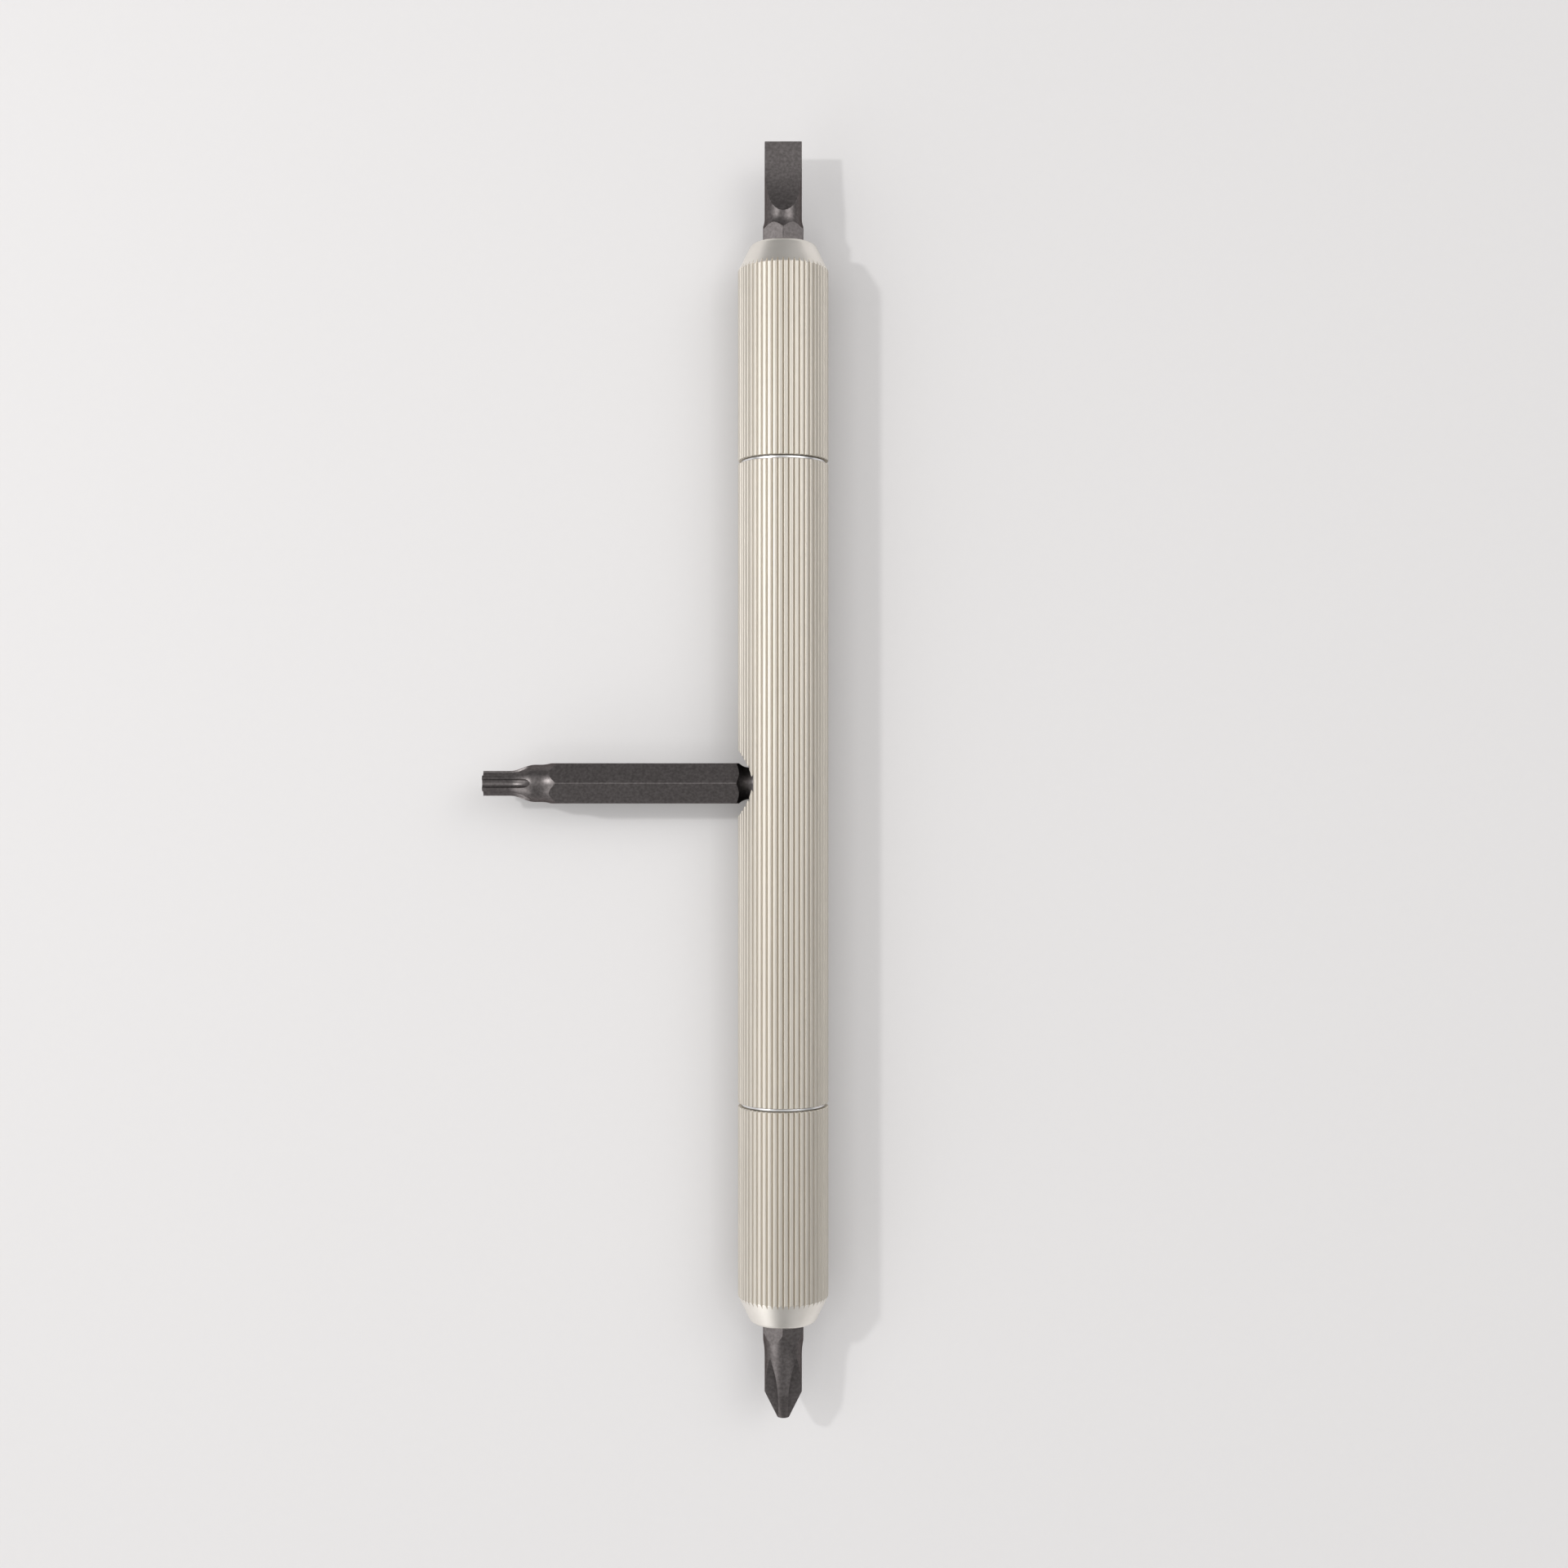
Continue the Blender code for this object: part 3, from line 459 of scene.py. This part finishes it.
# Painted shade: the lever socket's steel is darkened as shade of the cross hole it sits in
SHADE_DARKENED_STEEL = steel_look("shade_darkened_steel", (0.12, 0.115, 0.11), (0.19, 0.185, 0.18), 0.34, (9000, 60, 60))
NICKEL = steel_look("nickel_plate", (0.60, 0.575, 0.53), (0.72, 0.69, 0.64), 0.20, (1500, 1500, 1500))
SPRING_STEEL = steel_look("spring_wire", (0.34, 0.34, 0.35), (0.52, 0.52, 0.53), 0.26, (3000, 3000, 3000))
RUBBER = rubber_look()


# Knurled barrel and caps

def rib_columns(first_crest):
    """Return (angle, radius) of every column of the knurl: rounded ribs between sharp valleys."""
    pitch = math.tau / RIB_COUNT
    reach = RIB_HALF_SECTION[-1][0]
    right = [(side / reach / 2, drop * MM) for side, drop in RIB_HALF_SECTION]
    left = [(-share, drop) for share, drop in reversed(right[1:])]
    section = left + right[:-1]
    columns = []
    for rib in range(RIB_COUNT):
        for share, drop in section:
            columns.append((first_crest + (rib + share) * pitch, HANDLE_RADIUS - drop))
    return columns


def rib_row(columns, height, inset=0.0):
    """Return one row of points on the knurl."""
    return [
        ((radius - inset) * math.cos(angle), (radius - inset) * math.sin(angle), height)
        for angle, radius in columns
    ]


def plain_row(columns, radius, height):
    """Return one round row with a point for every column of the knurl."""
    return [(radius * math.cos(angle), radius * math.sin(angle), height) for angle, _ in columns]


def cone_end_row(columns, ahead):
    """Return a row a little ahead of where the nose cone cuts the ribs, or behind it.

    The cut lies further forward in the valleys, where the ribs are lower.
    """
    slope = math.tan(NOSE_ANGLE)
    row = []
    for angle, radius in columns:
        height = CAP_FRONT - NOSE_LENGTH + (HANDLE_RADIUS - radius) / slope + ahead
        radius -= max(ahead, 0.0) * slope
        row.append((radius * math.cos(angle), radius * math.sin(angle), height))
    return row


def make_barrel():
    """Knurled barrel, tapped at both ends, with the cross hole at its middle."""
    columns = rib_columns(math.pi / 2)
    mouth = TAPPED_RADIUS + MOUTH_CHAMFER
    half = [
        [(0, 0, TAPPED_FLOOR)],
        plain_row(columns, TAPPED_RADIUS, TAPPED_FLOOR),
        plain_row(columns, TAPPED_RADIUS, BARREL_END - MOUTH_CHAMFER),
        plain_row(columns, mouth, BARREL_END),
        rib_row(columns, BARREL_END, EDGE_BREAK),
        rib_row(columns, BARREL_END - EDGE_BREAK),
        rib_row(columns, BARREL_END - 2 * EDGE_BREAK),
    ]
    other_half = [[(x, y, -z) for x, y, z in row] for row in reversed(half)]
    barrel = add_object("barrel_look", skin(half + other_half), SLOTTED_AXIS)
    top = HANDLE_RADIUS + CLEAR
    hole = rod(CROSS_HOLE_RADIUS, top, CROSS_HOLE_FLOOR, FINE_ROUND_STEPS)
    carve(barrel, "DIFFERENCE", [hole], LEVER_AXIS)
    dress(barrel, "barrel", "barrel", [KNURL], 40)


def make_cap(end, axis, first_crest):
    """Knurled cap whose conical nose cuts across the ribs."""
    columns = rib_columns(first_crest)
    slope = math.tan(NOSE_ANGLE)
    setback = NOSE_EDGE_ROUND * math.tan((math.pi / 2 - NOSE_ANGLE) / 2)
    centre = (HANDLE_RADIUS - NOSE_LENGTH * slope - setback, CAP_FRONT - NOSE_EDGE_ROUND)
    edge = arc(centre, NOSE_EDGE_ROUND, math.pi / 2, NOSE_ANGLE, 8)
    bore = SLEEVE_RADIUS + FIT_GAP
    bore_step = SLEEVE_FRONT + FIT_GAP
    nose_rows = [plain_row(columns, NOSE_HOLE_RADIUS, CAP_FRONT - NOSE_HOLE_BREAK)]
    nose_rows.append(plain_row(columns, NOSE_HOLE_RADIUS + NOSE_HOLE_BREAK, CAP_FRONT))
    nose_rows += [plain_row(columns, radius, height) for radius, height in edge]
    nose_rows += [cone_end_row(columns, EDGE_BREAK), cone_end_row(columns, 0.0)]
    other_rows = [
        cone_end_row(columns, -EDGE_BREAK),
        rib_row(columns, CAP_BACK + 2 * EDGE_BREAK),
        rib_row(columns, CAP_BACK + EDGE_BREAK),
        rib_row(columns, CAP_BACK, EDGE_BREAK),
        plain_row(columns, bore + EDGE_BREAK, CAP_BACK),
        plain_row(columns, bore, CAP_BACK + EDGE_BREAK),
        plain_row(columns, bore, bore_step),
        plain_row(columns, NOSE_HOLE_RADIUS, bore_step),
    ]
    cap = add_object(f"{end}_end_cap_look", skin(nose_rows + other_rows, closed=True), axis)
    nose_faces = (len(nose_rows) - 1) * len(columns)
    dress(cap, f"{end}_end_cap", f"{end}_end", [KNURL, NOSE], 40)
    for face in cap.data.polygons[:nose_faces]:
        face.material_index = 1


# Sockets and the small pieces inside

def thread_rows(top, bottom, steps):
    """Return the rows of a right-handed outside thread that runs out at both its ends."""
    count = round((top - bottom) / THREAD_PITCH * THREAD_ROWS)
    rows = []
    for i in range(count + 1):
        height = top + (bottom - top) * i / count
        fade = min(1.0, (top - height) / THREAD_PITCH, (height - bottom) / (0.5 * THREAD_PITCH))
        row = []
        for k in range(steps):
            angle = math.tau * k / steps
            phase = (height / THREAD_PITCH - angle / math.tau) % 1.0
            drop = max(0.0, THREAD_SLOPE * abs(2 * phase - 1) - THREAD_CREST)
            radius = STUD_RADIUS - THREAD_DEPTH * min(drop, 1.0) * max(fade, 0.0)
            row.append((radius * math.cos(angle), radius * math.sin(angle), height))
        rows.append(row)
    return rows


def hex_bore_shapes(front, floor, pocket_floor):
    """Return the cutters of a hex bore with a lead-in and a magnet pocket behind it."""
    top = front + CLEAR
    lead_in = LEAD_IN_RADIUS + CLEAR
    return [
        hex_prism(HEX_BORE_FLAT_RADIUS, top, floor),
        lathe([(0, top), (lead_in, top), (0, top - lead_in)]),
        rod(MAGNET_RADIUS + FIT_GAP, floor + MAGNET_RADIUS, pocket_floor),
    ]


def make_end_socket(end, axis):
    """Steel socket: sleeve in the cap, collar in the seam, threaded stud in the barrel."""
    steps = FINE_ROUND_STEPS
    groove = O_RING_WIRE + RING_SIDE_GAP
    upper = [
        (SLEEVE_RADIUS - SOFT_EDGE, SLEEVE_FRONT),
        (SLEEVE_RADIUS, SLEEVE_FRONT - SOFT_EDGE),
        (SLEEVE_RADIUS, COLLAR_FRONT),
        (COLLAR_RADIUS - EDGE_BREAK, COLLAR_FRONT),
        (COLLAR_RADIUS, COLLAR_FRONT - EDGE_BREAK),
        (COLLAR_RADIUS, COLLAR_BACK + EDGE_BREAK),
        (COLLAR_RADIUS - EDGE_BREAK, COLLAR_BACK),
        (STUD_RADIUS, COLLAR_BACK),
        (STUD_RADIUS, O_RING_PLACE + groove),
        (O_RING_GROOVE_FLOOR, O_RING_PLACE + groove),
        (O_RING_GROOVE_FLOOR, O_RING_PLACE - groove),
        (STUD_RADIUS, O_RING_PLACE - groove),
    ]
    rows = [[(0, 0, SLEEVE_FRONT)]]
    rows += [ring(radius, height, steps) for radius, height in upper]
    rows += thread_rows(O_RING_PLACE - groove - SOFT_EDGE, STUD_END + STUD_CHAMFER, steps)
    rows += [ring(STUD_RADIUS - STUD_CHAMFER, STUD_END, steps), [(0, 0, STUD_END)]]
    socket = add_object(f"{end}_end_socket_look", skin(rows), axis)
    shapes = hex_bore_shapes(SLEEVE_FRONT, BIT_REAR - FIT_GAP, END_MAGNET[1] - FIT_GAP)
    snap_half = SNAP_RING_WIRE + RING_SIDE_GAP
    shapes.append(rod(SNAP_GROOVE_RADIUS, SNAP_RING_PLACE + snap_half, SNAP_RING_PLACE - snap_half))
    carve(socket, "DIFFERENCE", shapes, axis)
    dress(socket, f"{end}_end_socket", f"{end}_end", [SOCKET_STEEL], 38)


def make_lever_socket():
    """Plain steel bush with a hex bore at the floor of the cross hole."""
    front, back = LEVER_SOCKET
    profile = [
        (0, front),
        (SLEEVE_RADIUS - SOFT_EDGE, front),
        (SLEEVE_RADIUS, front - SOFT_EDGE),
        (SLEEVE_RADIUS, back + SOFT_EDGE),
        (SLEEVE_RADIUS - SOFT_EDGE, back),
        (0, back),
    ]
    socket = add_object("lever_socket_look", lathe(profile, FINE_ROUND_STEPS), LEVER_AXIS)
    carve(socket, "DIFFERENCE", hex_bore_shapes(front, LEVER_BIT_REAR - FIT_GAP, back - CLEAR), LEVER_AXIS)
    # Its darkened steel is painted shade of the cross hole
    dress(socket, "lever_socket", "barrel", [SHADE_DARKENED_STEEL])


def make_magnet(node, body, axis, ends):
    """Disc magnet with rounded edges."""
    top, bottom = ends
    side = MAGNET_RADIUS - SOFT_EDGE
    upper = arc((side, top - SOFT_EDGE), SOFT_EDGE, math.pi / 2, 0, 4)
    lower = arc((side, bottom + SOFT_EDGE), SOFT_EDGE, 0, -math.pi / 2, 4)
    magnet = add_object(f"{node}_look", lathe([(0, top), *upper, *lower, (0, bottom)]), axis)
    dress(magnet, node, body, [NICKEL])


def make_o_ring(end, axis):
    """Rubber ring in the stud's groove."""
    section = arc((O_RING_RADIUS, O_RING_PLACE), O_RING_WIRE, math.pi, -math.pi, 20)[:-1]
    rows = [ring(radius, height) for radius, height in section]
    seal = add_object(f"{end}_end_o_ring_look", skin(rows, closed=True), axis)
    dress(seal, f"{end}_end_o_ring", f"{end}_end_seal", [RUBBER])


def make_snap_ring(end, axis):
    """Open wire ring that springs into the bit's groove."""
    gap = math.radians(25)
    path = arc((0, 0), SNAP_RING_RADIUS, gap, math.tau - gap, 60)
    lift = axis @ Matrix.Translation((0, 0, SNAP_RING_PLACE))
    wire = add_object(
        f"{end}_end_snap_ring_look",
        tube(path, SNAP_RING_WIRE, 14, (1, 0, 0), (0, 1, 0), (0, 0, 1)),
        lift,
    )
    dress(wire, f"{end}_end_snap_ring", f"{end}_end", [SPRING_STEEL], 50)


# Bits

def shank(neck_length, shoulder_radius, length):
    """Return a bit's profile behind its neck, as (radius, distance from the tip) points."""
    rise = BIT_CORNER_RADIUS - BIT_NECK_RADIUS
    shoulder = arc(
        (BIT_NECK_RADIUS + shoulder_radius, neck_length),
        shoulder_radius,
        math.pi,
        math.pi - math.acos(1 - rise / shoulder_radius),
        14,
    )
    centre = (RING_GROOVE_FLOOR + RING_GROOVE_RADIUS, length - RING_GROOVE_FROM_REAR)
    reach = math.acos((centre[0] - BIT_CORNER_RADIUS) / RING_GROOVE_RADIUS)
    groove = arc(centre, RING_GROOVE_RADIUS, math.pi + reach, math.pi - reach, 16)
    rear = [
        (BIT_CORNER_RADIUS, length - BIT_REAR_CHAMFER),
        (BIT_CORNER_RADIUS - BIT_REAR_CHAMFER, length),
        (0, length),
    ]
    return shoulder + groove + rear


def make_bit(name, axis, rear, length, tip_profile, shank_profile, cutters, body):
    """Turn a bit, give its shank six flats and grind its tip."""
    seat = axis @ Matrix.Translation((0, 0, rear + length))
    profile = [(radius, -distance) for radius, distance in tip_profile + shank_profile]
    bit = add_object(f"{name}_look", lathe(profile), seat)
    carve(bit, "INTERSECT", [hex_prism(BIT_FLAT_RADIUS, CLEAR, -length - CLEAR)], seat)
    carve(bit, "DIFFERENCE", cutters, seat)
    dress(bit, name, body, [BIT_STEEL], 20)
    for face in bit.data.polygons:
        if face.area > FLAT_AREA:
            for corner in face.loop_indices:
                bit.data.edges[bit.data.loops[corner].edge_index].use_edge_sharp = True


def make_slotted_bit():
    """Blade ground flat near the tip and hollow where it runs out, as the photo shows it."""
    length = 50.6 * MM
    face_length = 3.4 * MM
    grind_radius = 19.5 * MM
    face_angle = math.radians(3)
    half_thickness = 0.5 * MM
    tip_half_width = 2.94 * MM
    full_width_from_tip = 5.3 * MM
    neck_length = 12.1 * MM
    shoulder_radius = 3.7 * MM
    slope = math.tan(face_angle)
    start = (-CLEAR, half_thickness - CLEAR * slope)
    end = (face_length, half_thickness + face_length * slope)
    centre = (end[0] - grind_radius * math.sin(face_angle), end[1] + grind_radius * math.cos(face_angle))
    grind = arc(centre, grind_radius, face_angle - math.pi / 2, 0, 40)
    outline = [start, *grind, (start[0], grind[-1][1])]
    wide = BIT_CORNER_RADIUS + CLEAR
    cutters = []
    for side in (1, -1):
        points = [(x, side * off, -back) for x in (-wide, wide) for back, off in outline]
        count = len(outline)
        faces = [(i, (i + 1) % count, (i + 1) % count + count, i + count) for i in range(count)]
        faces += [tuple(range(count)), tuple(range(count, 2 * count))]
        cutters.append((points, faces))
    tip = [(0, 0), (tip_half_width, 0), (BIT_NECK_RADIUS, full_width_from_tip)]
    shank_profile = shank(neck_length, shoulder_radius, length)
    make_bit("slotted_bit", SLOTTED_AXIS, BIT_REAR, length, tip, shank_profile, cutters, "slotted_bit")


def make_phillips_bit():
    """Blunt cone with four V flutes that run out along an arc."""
    length = 49.3 * MM
    root_radius = 1.05 * MM
    root_straight = 3.4 * MM
    root_angle = math.radians(2)
    grind_radius = 14.0 * MM
    wall_angle = math.radians(46)
    point_angle = math.radians(26.5)
    tip_radius = 0.95 * MM
    neck_length = 9.65 * MM
    shoulder_radius = 13.0 * MM
    slope = math.tan(root_angle)
    start = (root_radius - CLEAR * slope, -CLEAR)
    bend = (root_radius + root_straight * slope, root_straight)
    centre = (bend[0] + grind_radius * math.cos(root_angle), bend[1] - grind_radius * math.sin(root_angle))
    reach = math.acos((centre[0] - BIT_CORNER_RADIUS - CLEAR) / grind_radius)
    path = [start, *arc(centre, grind_radius, math.pi - root_angle, math.pi - reach, 32)]
    out = 2 * BIT_CORNER_RADIUS * math.cos(wall_angle)
    across = 2 * BIT_CORNER_RADIUS * math.sin(wall_angle)
    cutters = []
    for flute in range(4):
        turn = Matrix.Rotation((flute + 0.5) * math.pi / 2, 3, "Z")
        rows = []
        for root, distance in path:
            corners = ((root, 0), (root + out, across), (root + out, -across))
            rows.append([tuple(turn @ Vector((r, t, -distance))) for r, t in corners])
        ends = [[tuple(sum((Vector(p) for p in row), Vector()) / 3)] for row in (rows[0], rows[-1])]
        cutters.append(skin([ends[0], *rows, ends[1]]))
    cone_length = (BIT_NECK_RADIUS - tip_radius) / math.tan(point_angle)
    tip = [(0, 0), (tip_radius, 0), (BIT_NECK_RADIUS, cone_length)]
    shank_profile = shank(neck_length, shoulder_radius, length)
    make_bit("phillips_bit", PHILLIPS_AXIS, BIT_REAR, length, tip, shank_profile, cutters, "phillips_bit")


def make_torx_bit():
    """Star point with six round flutes that rise out of the neck."""
    length = 50.0 * MM
    tip_radius = 1.97 * MM
    straight = 4.2 * MM
    flare_length = 4.0 * MM
    flare_steps = 16
    flute_radius = 0.82 * MM
    core_radius = 1.42 * MM
    rise_radius = 4.0 * MM
    neck_length = 9.1 * MM
    shoulder_radius = 5.4 * MM
    flare = []
    for step in range(flare_steps + 1):
        share = step / flare_steps
        swell = (1 - math.cos(math.pi * share)) / 2
        radius = tip_radius + (BIT_NECK_RADIUS - tip_radius) * swell
        flare.append((radius, straight + flare_length * share))
    place = core_radius + flute_radius
    clear_place = BIT_CORNER_RADIUS + flute_radius
    rise_angle = math.acos(1 - (clear_place - place) / rise_radius)
    rise = arc((place + rise_radius, -straight), rise_radius, math.pi, math.pi + rise_angle, 20)
    path = [(place, CLEAR), *rise]
    cutters = []
    for flute in range(6):
        angle = math.pi / 2 + flute * math.pi / 3
        across = (math.cos(angle), math.sin(angle), 0)
        side = (-math.sin(angle), math.cos(angle), 0)
        cutters.append(tube(path, flute_radius, 32, across, (0, 0, 1), side))
    tip = [(0, 0), (tip_radius, 0), *flare]
    shank_profile = shank(neck_length, shoulder_radius, length)
    make_bit("torx_bit", LEVER_AXIS, LEVER_BIT_REAR, length, tip, shank_profile, cutters, "lever_bit")


make_barrel()
for END, AXIS, CREST in (("slotted", SLOTTED_AXIS, math.pi / 2), ("phillips", PHILLIPS_AXIS, -math.pi / 2)):
    make_cap(END, AXIS, CREST)
    make_end_socket(END, AXIS)
    make_magnet(f"{END}_end_magnet", f"{END}_end", AXIS, END_MAGNET)
    make_o_ring(END, AXIS)
    make_snap_ring(END, AXIS)
make_lever_socket()
make_magnet("lever_magnet", "barrel", LEVER_AXIS, LEVER_MAGNET)
make_slotted_bit()
make_phillips_bit()
make_torx_bit()


# Floor, light and camera

FLOOR_HALF = 3.0
# Share of the floor's painted pale glow, painted light in its shadows
FLOOR_GLOW_SHARE = 0.29
FLOOR_SHADE_REACH = 7 * MM
PAPER_DARK = (0.728, 0.716, 0.713)
PAPER_BRIGHT = (0.744, 0.732, 0.729)
PAPER_PAINTED_GLOW = (0.785, 0.772, 0.771, 1)
ROOM_COLOUR = (1.0, 0.992, 0.99, 1)
WALL_LEVEL = 0.80
KEY_SIZE = 0.034
KEY_POWER = 0.96
KEY_PLACE = Vector((-0.37, 0.12, 0.437))
CAMERA_LENS = 43.1
CAMERA_HEIGHT = 0.297
CAMERA_OFFSET = (0.00012, -0.0001)


def make_floor():
    """Plain pale table top."""
    corners = [(x * FLOOR_HALF, y * FLOOR_HALF, 0) for x, y in ((-1, -1), (1, -1), (1, 1), (-1, 1))]
    mesh = bpy.data.meshes.new("floor")
    mesh.from_pydata(corners, [], [(0, 1, 2, 3)])
    floor = bpy.data.objects.new("floor", mesh)
    bpy.context.scene.collection.objects.link(floor)
    material, tree, shader, place = new_look("pale_paper", 0.0)
    paper = noise(tree, place, (700, 700, 700), 3)
    colour = plain_blend(tree, paper, PAPER_DARK, PAPER_BRIGHT)
    tree.links.new(colour, shader.inputs["Base Color"])
    shader.inputs["Roughness"].default_value = 0.9
    shader.inputs["Specular IOR Level"].default_value = 0.2
    # Part of what the camera and the metal see of the floor is a painted pale glow: painted light that
    # fills the shadows, dimmed by painted shade close to the tool.
    light_path = tree.nodes.new("ShaderNodeLightPath").outputs
    seen = math_node(tree, "MAXIMUM", light_path["Is Camera Ray"], light_path["Is Glossy Ray"])
    near_shade = put(tree, "AmbientOcclusion", {"Distance": FLOOR_SHADE_REACH}, samples=8).outputs["AO"]
    tone = put(tree, "Emission", {"Color": PAPER_PAINTED_GLOW, "Strength": near_shade}).outputs[0]
    share = math_node(tree, "MULTIPLY", seen, FLOOR_GLOW_SHARE)
    mixed = put(tree, "MixShader", {0: share, 1: shader.outputs[0], 2: tone}).outputs[0]
    tree.links.new(mixed, tree.nodes["Material Output"].inputs["Surface"])
    mesh.materials.append(material)


# Each soft light of the room: its azimuth and elevation in degrees, how tight it is, its strength.
ROOM_BASE = 0.27
ROOM_LIGHTS = (
    (166, 40, 20.0, 2.1),
    (212, 10, 20.0, 0.5),
    (216, 30, 20.0, 1.2),
    (225, 20, 20.0, 1.9),
    (296, 10, 20.0, 0.3),
    (320, 50, 8.0, 0.2),
    (28, 40, 20.0, 0.9),
    (33, 50, 20.0, 3.2),
    (90, 80, 8.0, 0.35),
)


def make_room():
    """Soft studio room: soft lights round the tool; the camera sees a plain pale wall."""
    world = bpy.data.worlds.new("studio")
    bpy.context.scene.world = world
    world.use_nodes = True
    tree = world.node_tree
    background = tree.nodes["Background"]
    view = tree.nodes.new("ShaderNodeTexCoord").outputs["Generated"]
    level = ROOM_BASE
    for azimuth, elevation, tightness, strength in ROOM_LIGHTS:
        turn = Euler((0, -math.radians(elevation), math.radians(azimuth)))
        direction = turn.to_matrix() @ Vector((1, 0, 0))
        facing = put(tree, "VectorMath", {0: view, 1: direction}, operation="DOT_PRODUCT").outputs["Value"]
        lobe = math_node(tree, "POWER", math_node(tree, "MAXIMUM", facing, 0.0), tightness)
        level = math_node(tree, "ADD", math_node(tree, "MULTIPLY", lobe, strength), level)
    light_path = tree.nodes.new("ShaderNodeLightPath").outputs
    wall = light_path["Is Camera Ray"]
    shown = put(tree, "Mix", {0: wall, 2: level, 3: WALL_LEVEL}, data_type="FLOAT").outputs[0]
    tree.links.new(shown, background.inputs["Strength"])
    background.inputs["Color"].default_value = ROOM_COLOUR


def make_key():
    """One small soft lamp from the upper left."""
    lamp = bpy.data.lights.new("key", "AREA")
    lamp.shape = "DISK"
    lamp.size = KEY_SIZE
    lamp.energy = KEY_POWER
    key = bpy.data.objects.new("key", lamp)
    key.location = KEY_PLACE
    key.rotation_mode = "QUATERNION"
    key.rotation_quaternion = (-KEY_PLACE).to_track_quat("-Z", "Y")
    bpy.context.scene.collection.objects.link(key)


def make_camera():
    """Camera straight above the tool, framed as in the photo."""
    camera = bpy.data.cameras.new("camera")
    camera.sensor_width = 36
    camera.lens = CAMERA_LENS
    camera.clip_start = 0.01
    eye = bpy.data.objects.new("camera", camera)
    eye.location = (*CAMERA_OFFSET, HANDLE_RADIUS + CAMERA_HEIGHT)
    bpy.context.scene.collection.objects.link(eye)
    bpy.context.scene.camera = eye


make_floor()
make_room()
make_key()
make_camera()
bpy.context.scene.view_settings.view_transform = "Standard"
